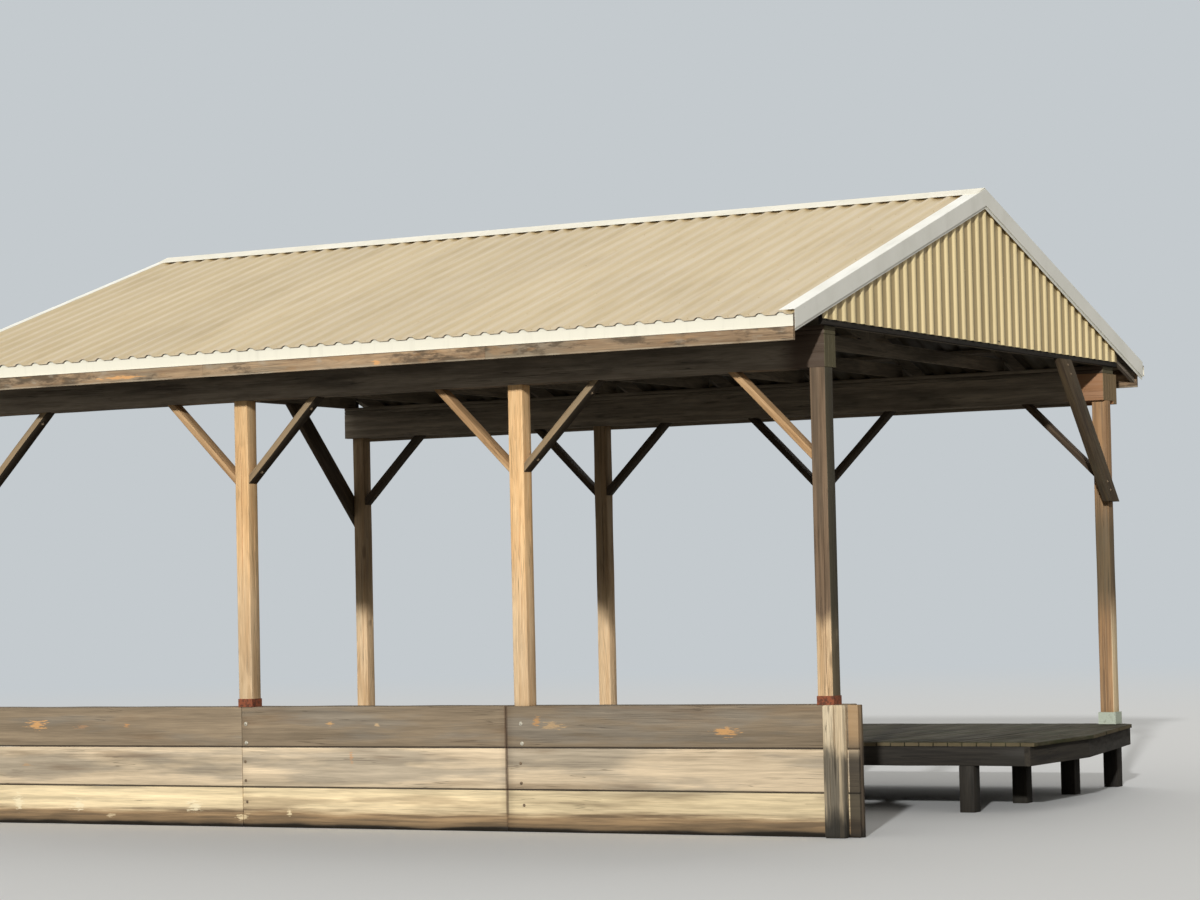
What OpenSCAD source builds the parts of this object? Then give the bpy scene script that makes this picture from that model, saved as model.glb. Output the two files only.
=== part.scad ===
// Open-sided timber boathouse: a plank bulkhead and a plank deck on piles,
// two rows of posts with beams and knee braces, and a ribbed metal gable roof.
// X runs along the ridge, Y across the slip with the bulkhead on the -Y side, Z up.
// The origin is at the bottom centre of the whole building, at water level.

/* [Plan] */
// Width over the outer faces of the two post rows
row_width = 7130; // [5600:10:9000]
// Spacing of the first two bays, counted from the right end
bay = 3050; // [2600:10:3600]
// Spacing of the last bay, at the left end
last_bay = 3220; // [2600:10:3700]
// Spacing of the first bay of the far posts, at the right end
far_bay = 3260; // [2600:10:3600]
// Spacing of the second bay of the far posts
far_second_bay = 2770; // [2400:10:3400]
// Length of the beams past the outer face of the left end posts
beam_tail = 80; // [20:5:300]

/* [Posts] */
// Side of a square post
post = 152; // [120:1:200]
// Height from water level to the underside of the beams
beam_bottom = 4070; // [3400:10:4800]
// Height of the steel bands at the foot of two near posts
band_h = 78; // [40:1:140]
// Thickness of the steel bands
band_t = 5; // [3:1:10]
// Side of the square base block under each far post
base_side = 190; // [170:1:280]
// Height of the base block
base_h = 125; // [80:1:240]

/* [Beams] */
// Depth of the main beams
beam_depth = 286; // [220:1:360]
// Width of the near beam
near_beam_w = 228; // [160:1:300]
// Width of the far beam
far_beam_w = 304; // [220:1:360]
// How far the far beam stands inside the inner face of its posts
far_beam_inset = 45; // [0:1:80]
// Thickness of the outer ply on the far beam
outer_ply_w = 96; // [38:1:120]
// How far the outer ply hangs below the far beam
outer_ply_drop = 30; // [5:1:80]
// Thickness of each of the two flat top plates
plate_t = 38; // [25:1:60]

/* [Knee braces] */
// Run of a knee brace along the beam, and its drop down the post
brace_run = 800; // [600:10:1100]
// Thickness of a knee brace
brace_t = 60; // [35:1:80]
// Width of a knee brace across the beam
brace_w = 140; // [80:1:150]
// Run of the brace across the right gable end
gable_brace_run = 1465; // [900:5:1600]
// Drop of the brace across the right gable end
gable_brace_drop = 1600; // [1000:5:1800]
// Width of the brace across the right gable end
gable_brace_w = 238; // [140:1:260]
// Run of the brace across the left gable end
left_brace_run = 1325; // [900:5:1600]
// Drop of the brace across the left gable end
left_brace_drop = 1325; // [1000:5:1800]
// Width of the brace across the left gable end
left_brace_w = 193; // [140:1:240]
// Height of the level feet of the gable end braces
gable_brace_foot = 3000; // [2600:10:3400]
// How far those feet may run past the outer faces of the far posts
gable_brace_out = 40; // [0:5:80]
// Thickness of a gable end brace
gable_brace_t = 70; // [35:1:90]

/* [Roof frame] */
// Number of roof frames along the beams
frames = 9; // [5:1:12]
// Thickness of the roof frame timbers
frame_t = 38; // [30:1:50]
// Depth of the tie beams
tie_depth = 140; // [90:1:200]
// Depth of the rafters, square to the slope
rafter_depth = 140; // [100:1:190]
// Height of the rafter underside over the plate, at the outer face of the posts
heel_h = 128; // [100:1:135]
// Rise of the roof for each unit of run
roof_rise = 0.3333; // [0.25:0.01:0.45]
// Horizontal reach of the eaves past the outer faces of the posts
eave_reach = 820; // [500:10:1000]
// Width of the roof frame webs
web_w = 89; // [60:1:120]
// Depth of the ridge board
ridge_depth = 184; // [140:1:240]
// Width of a purlin
purlin_w = 89; // [60:1:120]
// Thickness of a purlin
purlin_t = 38; // [25:1:50]
// Number of purlins on each slope
purlins = 8; // [5:1:10]
// Depth of the fascia boards
fascia_depth = 184; // [140:1:235]
// Thickness of the fascia boards
fascia_t = 38; // [20:1:50]
// How far the far fascia stops short of the right rake trim
far_fascia_short = 70; // [0:5:120]

/* [Roof metal] */
// Distance from rib to rib of the sheets
rib_pitch = 194.5; // [150:0.5:300]
// Height of a rib
rib_h = 23; // [12:1:32]
// Width of a rib at its foot
rib_foot = 92; // [50:1:110]
// Width of a rib at its top
rib_top = 46; // [20:1:60]
// Distance from the right edge of the roof sheets to their first rib
rib_inset = 109; // [60:1:190]
// Thickness of the sheets
sheet_t = 2; // [1:0.5:4]
// Thickness of the folded trims
trim_t = 3; // [2:0.5:5]
// Width of each leg of the ridge cap
cap_leg = 215; // [120:1:300]
// Width of the flat foot along each side of the ridge cap
cap_foot = 40; // [20:1:80]
// Rise of the ridge cap over the line of its feet
cap_crown = 8; // [5:1:40]
// How far the ridge cap stops short of the faces of the rake trims
cap_inset = 10; // [3:1:60]
// How far the sheets run past the fascia
drip = 16; // [5:1:40]
// Height of the eave trim
eave_trim_h = 92; // [50:1:120]
// Gap between the eave trim and the flat of the sheet over it
eave_gap = 8; // [2:1:15]
// Height of the rake trim face, square to the slope
rake_face = 152; // [110:1:200]
// Height of the lip under the rake trim face
rake_lip = 28; // [15:1:50]
// Width of the right rake trim on the roof
rake_flange = 150; // [90:1:240]
// Width of the left rake trim on the roof
left_rake_flange = 85; // [60:1:240]
// Distance from the beam ends to the outer face of the rake trim
rake_reach = 95; // [92:1:110]

/* [Gable ends] */
// Thickness of the gable girts
girt_t = 38; // [25:1:42]
// Depth of the gable girts
girt_w = 89; // [60:1:120]
// How far the bottom girt shows under the sheet
girt_show = 48; // [10:1:60]
// How far the gable sheet runs past the outer faces of the posts
gable_side = 120; // [40:1:160]
// Distance from the near edge of a gable sheet to its first rib
gable_rib_inset = 53; // [50:1:150]

/* [Bulkhead] */
// Height of the bulkhead over the water
wall_h = 1140; // [700:10:1600]
// Number of plank courses
courses = 3; // [2:1:5]
// Thickness of the bulkhead planks
plank_t = 40; // [30:1:90]
// Open joint between planks
plank_gap = 6; // [3:1:12]
// How far the bulkhead runs past the end posts
wall_reach = 237; // [200:1:500]
// Distance from the left face of the second post to the plank joint beside it
joint_offset = 96; // [40:1:200]
// Distance from the plank joint under the third post to the left face of that post
left_joint_offset = 22; // [5:1:140]
// Width of an end board
end_board_w = 75; // [50:1:120]
// Thickness of an end board
end_board_t = 38; // [25:1:60]
// How far the end boards show past the planks
end_lap = 15; // [5:1:40]
// How far the cap and the wales run past the end posts
cap_reach = 90; // [40:1:120]
// Width of the cap behind the planks
cap_w = 245; // [220:1:300]
// Thickness of the cap
cap_t = 38; // [25:1:60]
// Depth of a wale
wale_h = 140; // [100:1:200]
// Thickness of a wale
wale_t = 60; // [40:1:90]
// Width of the corner piles in front of the planks
corner_pile_w = 195; // [150:1:260]
// How far the corner piles stand out from the planks
corner_pile_d = 100; // [60:1:160]
// How far a corner pile runs past the outer face of its post
corner_pile_reach = 125; // [60:1:150]

/* [Deck] */
// Height of the deck over the water
deck_top = 662; // [450:1:1000]
// Distance from the outer faces of the near posts to the deck edge
deck_near = 3100; // [2500:10:3800]
// Thickness of the deck boards
deck_t = 38; // [25:1:60]
// How far the deck runs past the right end posts
deck_reach = 620; // [300:10:1000]
// How far the deck runs past the left end posts
deck_tail = 90; // [40:5:600]
// Length of the skewed corner at the right end, across the deck
skew_y = 2500; // [1500:10:2700]
// Width of the skewed corner, along the deck
skew_x = 475; // [200:5:500]
// Distance from the far posts to the far edge of the deck
deck_far = 40; // [20:5:400]
// Depth of the stringers under the deck
stringer_h = 184; // [140:1:240]
// Thickness of the stringers
stringer_t = 70; // [40:1:100]
// Number of stringers
stringers = 4; // [3:1:6]
// How far the rim joist at the right end stands back under the deck boards
rim_setback = 45; // [10:5:100]
// Thickness of the rim joist
rim_t = 60; // [40:1:80]

/* [Hidden] */

// Right faces of the posts, counted from the right end, with 0 at the right end
post_x = [0, -bay, -2 * bay, -2 * bay - last_bay];
far_post_x = [0, -far_bay, -far_bay - far_second_bay, post_x[3]];
posts_left = post_x[3] - post;
beam_left = posts_left - beam_tail;
beam_len = -beam_left;
mid_y = row_width / 2;
rake_right = rake_reach;
rake_left = beam_left - rake_reach;

// Slope of the roof, and heights measured at the outer face of the posts
slope = atan(roof_rise);
up = 1 / cos(slope);
plate_top = beam_bottom + beam_depth + 2 * plate_t;
rafter_low = plate_top + heel_h;
rafter_high = rafter_low + rafter_depth * up;
pan_z = rafter_high + purlin_t * up;
rib_z = pan_z + (sheet_t + rib_h) * up;
half_run = mid_y + eave_reach;
slope_len = half_run * up;

// Whole building, for the origin
right_most = max(deck_reach, wall_reach, rake_right);
left_most = min(posts_left - wall_reach, rake_left, posts_left - deck_tail);
origin_x = (right_most + left_most) / 2;

far_face = row_width - post;
deck_low = deck_top - deck_t;
stringer_low = deck_low - stringer_h;
deck_edge = row_width + deck_far;

wood_light = [0.80, 0.66, 0.48];
wood_dark = [0.36, 0.28, 0.21];
wood_grey = [0.52, 0.47, 0.41];
tan_metal = [0.77, 0.70, 0.58];
cream_metal = [0.90, 0.88, 0.80];
gable_metal = [0.88, 0.79, 0.58];
rust = [0.50, 0.24, 0.14];
painted_block = [0.66, 0.70, 0.64];

// Moves the building so that its bottom centre is at the origin
module placed() {
  translate([-origin_x, -mid_y, 0]) children();
}

// Mirrors what is drawn for the near side to the far side
module far_side() {
  translate([0, row_width, 0]) mirror([0, 1, 0]) children();
}

// Mirrors what is drawn past the right ends of the beams to their left ends
module left_end() {
  translate([beam_left, 0, 0]) mirror([1, 0, 0]) children();
}

// A board from corner a to corner b
module board(a, b) {
  translate(a) cube(b - a);
}

// A prism of a profile in Y and Z, from x0 to x1
module along_x(x0, x1) {
  translate([x0, 0, 0]) rotate([90, 0, 90]) linear_extrude(height = x1 - x0) children();
}

// A profile in X and the slope's normal, run up the near slope from the eave line
module up_slope(length, base_z, start) {
  translate([0, 0, base_z]) rotate([slope - 90, 0, 0]) mirror([0, 1, 0])
    translate([0, 0, start]) linear_extrude(height = length) children();
}

// Height on the near slope of a plane that lies at z0 over the outer faces of the posts
function on_slope(z0, y) = z0 + y * roof_rise;

// Section of a ribbed sheet along one line, ribs up, with its first rib at first
function rib_line(first, count, lift) = [
  for (i = [0:count - 1])
    for (p = [[-rib_foot / 2, 0], [-rib_top / 2, rib_h], [rib_top / 2, rib_h], [rib_foot / 2, 0]])
      [first + i * rib_pitch + p[0], p[1] + lift]
];
function reversed(list) = [for (i = [len(list) - 1:-1:0]) list[i]];
function sheet_section(a, b, first, count) = concat(
  [[a, sheet_t]], rib_line(first, count, sheet_t), [[b, sheet_t]],
  [[b, 0]], reversed(rib_line(first, count, 0)), [[a, 0]]
);

// Bulkhead, with planks in courses between joints beside the posts
plank_right = wall_reach - end_lap;
plank_left = posts_left - plank_right;
cap_left = posts_left - cap_reach;
joints = [
  plank_left, post_x[2] - post + left_joint_offset + plank_gap / 2,
  post_x[1] - post - joint_offset + plank_gap / 2, plank_right + plank_gap
];
course_h = (wall_h + plank_gap) / courses;
module bulkhead_planks() {
  color(wood_grey) placed()
    for (row = [0:courses - 1])
      for (k = [0:2])
        board([joints[k], 0, row * course_h],
              [joints[k + 1] - plank_gap, plank_t, (row + 1) * course_h - plank_gap]);
}
module bulkhead_cap() {
  color(wood_grey) placed()
    board([cap_left, plank_t, wall_h - cap_t], [cap_reach, plank_t + cap_w, wall_h]);
}
module bulkhead_wales() {
  color(wood_grey) placed()
    for (level = [0.25, 0.75])
      board([cap_left, plank_t + post, wall_h * level - wale_h / 2],
            [cap_reach, plank_t + post + wale_t, wall_h * level + wale_h / 2]);
}
module near_piles() {
  color(wood_grey) placed()
    for (x = post_x)
      board([x - post, plank_t, 0], [x, plank_t + post, wall_h - cap_t]);
}
module corner_pile() {
  board([corner_pile_reach - corner_pile_w, -corner_pile_d, 0], [corner_pile_reach, 0, wall_h]);
}
module front_corner_piles() {
  color(wood_light) placed() {
    corner_pile();
    translate([posts_left, 0, 0]) mirror([1, 0, 0]) corner_pile();
  }
}
module end_board() {
  board([wall_reach - end_board_w, plank_t, 0], [wall_reach, plank_t + end_board_t, wall_h]);
}
module bulkhead_end_boards() {
  color(wood_grey) placed() {
    end_board();
    translate([posts_left, 0, 0]) mirror([1, 0, 0]) end_board();
  }
}

// Posts, their bands and their base blocks
module near_post(k) {
  color(wood_light) placed()
    board([post_x[k] - post, 0, wall_h], [post_x[k], post, beam_bottom]);
}
module far_post(k) {
  color(wood_light) placed()
    board([far_post_x[k] - post, far_face, deck_top + base_h],
          [far_post_x[k], row_width, beam_bottom]);
}
module band(x) {
  difference() {
    board([x - post - band_t, -band_t, wall_h], [x + band_t, post + band_t, wall_h + band_h]);
    board([x - post, 0, wall_h - 1], [x, post, wall_h + band_h + 1]);
  }
}
module near_post_bands() {
  color(rust) placed() {
    band(post_x[0]);
    band(post_x[2]);
  }
}
module far_post_bases() {
  skirt = (base_side - post) / 2;
  color(painted_block) placed()
    for (x = far_post_x)
      board([x - post - skirt, far_face - skirt, deck_top],
            [x + skirt, row_width + skirt, deck_top + base_h]);
}

// Beams on the posts, with two flat plates on each
far_beam_y = far_face - far_beam_inset;
module near_beam() {
  color(wood_dark) placed()
    board([beam_left, 0, beam_bottom], [0, near_beam_w, beam_bottom + beam_depth]);
}
module far_beam() {
  color(wood_dark) placed()
    board([beam_left, far_beam_y, beam_bottom],
          [0, far_beam_y + far_beam_w, beam_bottom + beam_depth]);
}
module far_beam_outer_ply() {
  inner = far_beam_y + far_beam_w;
  color(wood_dark) placed()
    board([beam_left, inner, beam_bottom - outer_ply_drop],
          [0, inner + outer_ply_w, beam_bottom + beam_depth]);
}
module top_plates() {
  color(wood_dark) placed() {
    board([beam_left, 0, plate_top - 2 * plate_t], [0, near_beam_w, plate_top]);
    board([beam_left, far_beam_y, plate_top - 2 * plate_t],
          [0, far_beam_y + far_beam_w, plate_top]);
  }
}

// One knee brace in X and Z, from a post face up to the beam, going to +X
module knee(x, y) {
  cut = brace_t * sqrt(2);
  translate([x, y + brace_w, beam_bottom]) rotate([90, 0, 0])
    linear_extrude(height = brace_w)
      polygon([[0, -brace_run], [brace_run, 0], [brace_run - cut, 0], [0, -brace_run + cut]]);
}
module knee_row(row, y) {
  for (k = [0:2])
    translate([row[k] - post, 0, 0]) mirror([1, 0, 0]) knee(0, y);
  for (k = [1:3])
    knee(row[k], y);
}
module near_knee_braces() {
  color(wood_dark) placed() knee_row(post_x, (post - brace_w) / 2);
}
module far_knee_braces() {
  color(wood_dark) placed() knee_row(far_post_x, far_face + (post - brace_w) / 2);
}

// Braces lapped on the outer faces of the far end posts, up to the bottom girts
module gable_brace(run, drop, width) {
  steep = drop / run;
  half = width * sqrt(1 + steep * steep) / steep / 2;
  foot_y = row_width - run + (plate_top - gable_brace_foot) / steep;
  along_x(0, gable_brace_t)
    intersection() {
      polygon([
        [foot_y - half, gable_brace_foot], [foot_y + half, gable_brace_foot],
        [row_width - run + half, plate_top], [row_width - run - half, plate_top]
      ]);
      square([row_width + gable_brace_out, plate_top]);
    }
}
module gable_braces() {
  color(wood_dark) placed() {
    gable_brace(gable_brace_run, gable_brace_drop, gable_brace_w);
    translate([posts_left, 0, 0]) mirror([1, 0, 0])
      gable_brace(left_brace_run, left_brace_drop, left_brace_w);
  }
}

// Roof frames: tie beam, rafters against a ridge board, king post and two struts
frame_step = (beam_len - frame_t) / (frames - 1);
module each_frame() {
  for (i = [0:frames - 1])
    translate([beam_left + i * frame_step, 0, 0]) children();
}
tie_top = plate_top + tie_depth;
tie_corner = (tie_depth - heel_h) / roof_rise;
module tie_beams() {
  color(wood_dark) placed() each_frame()
    along_x(0, frame_t)
      polygon([
        [0, plate_top], [row_width, plate_top], [row_width, rafter_low],
        [row_width - tie_corner, tie_top], [tie_corner, tie_top], [0, rafter_low]
      ]);
}
ridge_face = mid_y - frame_t / 2;
rafter_tail = -eave_reach + fascia_t;
module rafter() {
  along_x(0, frame_t)
    polygon([
      [rafter_tail, on_slope(rafter_low, rafter_tail)], [ridge_face, on_slope(rafter_low, ridge_face)],
      [ridge_face, on_slope(rafter_high, ridge_face)], [rafter_tail, on_slope(rafter_high, rafter_tail)]
    ]);
}
module near_rafters() {
  color(wood_dark) placed() each_frame() rafter();
}
module far_rafters() {
  color(wood_dark) placed() each_frame() far_side() rafter();
}
ridge_top = on_slope(rafter_high, ridge_face);
module ridge_board() {
  color(wood_dark) placed()
    board([beam_left, ridge_face, ridge_top - ridge_depth],
          [0, ridge_face + frame_t, ridge_top]);
}
module king_posts() {
  color(wood_dark) placed() each_frame()
    board([0, mid_y - web_w / 2, tie_top], [frame_t, mid_y + web_w / 2, king_top]);
}
king_top = min(ridge_top - ridge_depth, on_slope(rafter_low, mid_y - web_w / 2));

// A strut from the foot of the king post out to the rafter
strut_run = mid_y / 2;
module strut() {
  foot_y = mid_y - web_w / 2;
  head_y = foot_y - strut_run;
  along_x(0, frame_t)
    polygon([
      [foot_y, tie_top], [foot_y, tie_top + web_w],
      [head_y, on_slope(rafter_low, head_y)],
      [head_y - web_w, on_slope(rafter_low, head_y - web_w)], [foot_y - web_w, tie_top]
    ]);
}
module web_struts() {
  color(wood_dark) placed() each_frame() {
    strut();
    far_side() strut();
  }
}

// Purlins lie flat on the rafters and run out to the rake trims
purlin_end = rake_reach - trim_t;
purlin_first = -eave_reach * up + purlin_t * roof_rise;
purlin_last = ridge_face * up - purlin_w - frame_t;
module purlin_set() {
  for (i = [0:purlins - 1]) {
    start = purlin_first + i * (purlin_last - purlin_first) / (purlins - 1);
    up_slope(purlin_w, rafter_high, start)
      translate([beam_left - purlin_end, 0]) square([beam_len + 2 * purlin_end, purlin_t]);
  }
}
module near_purlins() {
  color(wood_dark) placed() purlin_set();
}
module far_purlins() {
  color(wood_dark) placed() far_side() purlin_set();
}

// Fascia boards and the folded trims over them
fascia_top = on_slope(rafter_high, -eave_reach);
module fascia(short) {
  board([rake_left + trim_t, -eave_reach, fascia_top - fascia_depth],
        [rake_right - trim_t - short, -eave_reach + fascia_t, fascia_top]);
}
module near_fascia() {
  color(wood_dark) placed() fascia(0);
}
module far_fascia() {
  color(wood_dark) placed() far_side() fascia(far_fascia_short);
}
module eave_trim() {
  top = on_slope(pan_z, -eave_reach - trim_t) - eave_gap;
  low = top - eave_trim_h;
  along_x(rake_left, rake_right)
    polygon([
      [-eave_reach, top], [-eave_reach, low + trim_t], [-eave_reach - 3 * trim_t, low - 2 * trim_t],
      [-eave_reach - 4 * trim_t, low - 2 * trim_t], [-eave_reach - trim_t, low + trim_t],
      [-eave_reach - trim_t, top]
    ]);
}
module near_eave_trim() {
  color(cream_metal) placed() eave_trim();
}
module far_eave_trim() {
  color(cream_metal) placed() far_side() eave_trim();
}

// Ribbed roof sheets from the drip edge to just under the ridge cap
sheet_right = purlin_end;
sheet_left = beam_left - purlin_end;
last_rib = sheet_right - rib_inset;
rib_gaps = floor((last_rib - sheet_left - rib_foot / 2) / rib_pitch);
rib_first = last_rib - rib_gaps * rib_pitch;
sheet_stop = 30;
module roof_sheet() {
  start = -(eave_reach + drip) * up;
  up_slope((mid_y - sheet_stop) * up - start, pan_z, start)
    polygon(sheet_section(sheet_left, sheet_right, rib_first, rib_gaps + 1));
}
module near_roof_sheet() {
  color(tan_metal) placed() roof_sheet();
}
module far_roof_sheet() {
  color(tan_metal) placed() far_side() roof_sheet();
}

// Ridge cap on the rake trims, with a flat foot on each side and a raised crown
cap_low = rib_z + mid_y * roof_rise + trim_t * up;
cap_run = cap_leg * cos(slope);
bend_run = (cap_leg - cap_foot) * cos(slope);
function cap_line(lift) = [
  [mid_y - cap_run, cap_low - cap_run * roof_rise + lift],
  [mid_y - bend_run, cap_low - bend_run * roof_rise + lift],
  [mid_y, cap_low + cap_crown + lift],
  [mid_y + bend_run, cap_low - bend_run * roof_rise + lift],
  [mid_y + cap_run, cap_low - cap_run * roof_rise + lift]
];
module ridge_cap() {
  color(cream_metal) placed()
    along_x(rake_left + cap_inset, rake_right - cap_inset)
      polygon(concat(cap_line(0), reversed(cap_line(trim_t * up))));
}

// Gable ends: girts on the end frames, ribbed sheet over them
module girt(z, y0) {
  board([0, y0, z], [girt_t, row_width - y0, z + girt_w]);
}
mid_girt_z = plate_top + (rafter_low + mid_y * roof_rise - plate_top) / 2;
module girt_pair() {
  girt(plate_top, -gable_side);
  girt(mid_girt_z, (mid_girt_z + girt_w - rafter_low) / roof_rise);
}
module gable_girts() {
  color(wood_dark) placed() {
    girt_pair();
    left_end() girt_pair();
  }
}
gable_low = plate_top + girt_show;
gable_first = gable_rib_inset - gable_side;
gable_gaps = floor((row_width + gable_side - gable_first - rib_foot / 2) / rib_pitch);
function swapped(list) = [for (p = list) [p[1] + girt_t, p[0]]];
module gable_sheet() {
  y0 = -gable_side;
  y1 = row_width + gable_side;
  peak = on_slope(rafter_high, mid_y);
  intersection() {
    translate([0, 0, gable_low]) linear_extrude(height = peak - gable_low)
      polygon(swapped(sheet_section(y0, y1, gable_first, gable_gaps + 1)));
    along_x(0, 2 * rake_reach)
      polygon([
        [y0, gable_low], [y1, gable_low], [y1, on_slope(rafter_high, y0)],
        [mid_y, peak], [y0, on_slope(rafter_high, y0)]
      ]);
  }
}
module right_gable_sheet() {
  color(gable_metal) placed() gable_sheet();
}
module left_gable_sheet() {
  color(gable_metal) placed() left_end() gable_sheet();
}

// Barge boards between the purlin ends and the turned-in foot of the rake trims
barge_x = girt_t + sheet_t + rib_h;
barge_depth = rake_face - trim_t - rib_h - sheet_t - purlin_t;
module barge() {
  low = barge_depth * up;
  tail = -eave_reach + fascia_t;
  along_x(barge_x, purlin_end)
    polygon([
      [tail, on_slope(rafter_high, tail)], [mid_y, on_slope(rafter_high, mid_y)],
      [mid_y, on_slope(rafter_high, mid_y) - low], [tail, on_slope(rafter_high, tail) - low]
    ]);
}
module barge_pair() {
  barge();
  far_side() barge();
}
module barge_boards() {
  color(wood_dark) placed() {
    barge_pair();
    left_end() barge_pair();
  }
}

// Rake trims: a flange on the ribs, a face, and a lip set back under it
rake_setback = 12;
module rake_leg(flange) {
  x = rake_reach;
  low = -rake_face;
  intersection() {
    up_slope(slope_len + rake_face, rib_z, -(eave_reach - fascia_t) * up - rake_face)
      polygon([
        [x - flange, 0], [x - trim_t, 0], [x - trim_t, low + trim_t],
        [x - rake_setback - trim_t, low + trim_t], [x - rake_setback - trim_t, low - rake_lip],
        [x - rake_setback, low - rake_lip], [x - rake_setback, low], [x, low],
        [x, trim_t], [x - flange, trim_t]
      ]);
    board([-flange * 2, -eave_reach + fascia_t, 0], [rake_reach * 2, mid_y, 2 * rib_z]);
  }
}
module rake_pair(flange) {
  rake_leg(flange);
  far_side() rake_leg(flange);
}
module right_rake_trim() {
  color(cream_metal) placed() rake_pair(rake_flange);
}
module left_rake_trim() {
  color(cream_metal) placed() left_end() rake_pair(left_rake_flange);
}

// Plank deck on stringers and piles, with a skewed corner and a rim joist at the right end
deck_left = posts_left - deck_tail;
function right_edge(back) = [
  [deck_reach - back, deck_near], [deck_reach - back, deck_edge - skew_y],
  [deck_reach - skew_x - back, deck_edge]
];
module deck_plan(back) {
  polygon(concat([[deck_left, deck_near]], right_edge(back), [[deck_left, deck_edge]]));
}
module deck_boards() {
  color(wood_grey) placed() translate([0, 0, deck_low])
    linear_extrude(height = deck_t) deck_plan(0);
}
module deck_rim() {
  color(wood_grey) placed() translate([0, 0, stringer_low])
    linear_extrude(height = stringer_h)
      polygon(concat(right_edge(rim_setback), reversed(right_edge(rim_setback + rim_t))));
}
stringer_span = deck_edge - deck_near - stringer_t;
function stringer_y(i) = deck_near + i * stringer_span / (stringers - 1);
module deck_stringers() {
  color(wood_grey) placed()
    intersection() {
      translate([0, 0, stringer_low]) linear_extrude(height = stringer_h)
        deck_plan(rim_setback + rim_t);
      for (i = [0:stringers - 1])
        board([deck_left, stringer_y(i), stringer_low],
              [deck_reach, stringer_y(i) + stringer_t, deck_low]);
    }
}
module deck_piles() {
  color(wood_grey) placed()
    for (x = far_post_x)
      for (i = [0:stringers - 1]) {
        side = i < stringers - 1 ? stringer_y(i) : stringer_y(i) + stringer_t - post;
        board([x - post, side, 0], [x, side + post, stringer_low]);
      }
}

bulkhead_planks();
bulkhead_cap();
bulkhead_wales();
near_piles();
front_corner_piles();
bulkhead_end_boards();
near_post(0);  // near_post_1
near_post(1);  // near_post_2
near_post(2);  // near_post_3
near_post(3);  // near_post_4
far_post(0);  // far_post_1
far_post(1);  // far_post_2
far_post(2);  // far_post_3
far_post(3);  // far_post_4
near_post_bands();
far_post_bases();
near_beam();
far_beam();
far_beam_outer_ply();
top_plates();
near_knee_braces();
far_knee_braces();
gable_braces();
tie_beams();
near_rafters();
far_rafters();
king_posts();
web_struts();
ridge_board();
near_purlins();
far_purlins();
near_fascia();
far_fascia();
near_eave_trim();
far_eave_trim();
near_roof_sheet();
far_roof_sheet();
ridge_cap();
gable_girts();
right_gable_sheet();
left_gable_sheet();
barge_boards();
right_rake_trim();
left_rake_trim();
deck_boards();
deck_rim();
deck_stringers();
deck_piles();
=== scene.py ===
"""Looks of an open-sided timber boathouse: weathered timber, ribbed painted sheet and folded
trims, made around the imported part, which is loaded as a fixed frame. Sizes are in metres, X runs
along the ridge, Y across the slip and Z up, with the bulkhead on the -Y side."""

import math
import random

import bmesh
import bpy
import numpy as np
from bpy.props import FloatProperty, FloatVectorProperty, IntProperty, PointerProperty
from mathutils import Matrix, Vector


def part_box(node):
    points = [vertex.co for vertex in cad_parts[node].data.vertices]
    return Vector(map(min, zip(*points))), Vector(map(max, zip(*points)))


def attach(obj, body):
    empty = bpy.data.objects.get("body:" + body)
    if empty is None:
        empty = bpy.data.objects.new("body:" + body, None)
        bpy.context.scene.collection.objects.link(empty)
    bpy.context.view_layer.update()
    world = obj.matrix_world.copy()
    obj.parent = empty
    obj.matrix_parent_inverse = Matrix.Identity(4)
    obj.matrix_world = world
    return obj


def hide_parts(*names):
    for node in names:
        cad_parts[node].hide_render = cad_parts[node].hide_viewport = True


bl_info = {
    "name": "Timber boathouse",
    "version": (1, 0, 0),
    "blender": (4, 5, 0),
    "location": "3D View > Sidebar > Boathouse",
    "description": "Dresses the packed boathouse with boards, sheets, trims and fixings",
    "category": "Object",
}

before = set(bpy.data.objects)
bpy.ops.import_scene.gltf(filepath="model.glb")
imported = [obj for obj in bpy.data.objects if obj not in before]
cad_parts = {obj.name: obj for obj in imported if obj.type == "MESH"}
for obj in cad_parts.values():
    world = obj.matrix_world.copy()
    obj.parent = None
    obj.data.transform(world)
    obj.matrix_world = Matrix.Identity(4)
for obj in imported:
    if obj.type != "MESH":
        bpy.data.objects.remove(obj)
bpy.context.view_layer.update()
X, Y, Z = 0, 1, 2
ROOF_RISE = 0.3333   # rise of the roof for a metre across
SLOPE = math.atan(ROOF_RISE)
POST_HALF = 0.076    # half the width of a post
BRACE_HALF = 0.030   # half the size of a knee brace from its upper to its lower edge
FASCIA_HALF = 0.092  # half the height of a fascia
PURLIN_HALF = 0.019  # half the thickness of a purlin
FASCIA_JOINTS = (3.62, 6.7)  # from the left end
BOLT_HEIGHTS = ((0.98, 0.80), (0.62, 0.44, 0.24))  # in the top course and below it
TOUCH = 1e-4  # points nearer than this are taken as level
BACKDROP = (196, 202, 206)


# Places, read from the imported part

def low(name):
    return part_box(name)[0]


def high(name):
    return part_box(name)[1]


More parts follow.
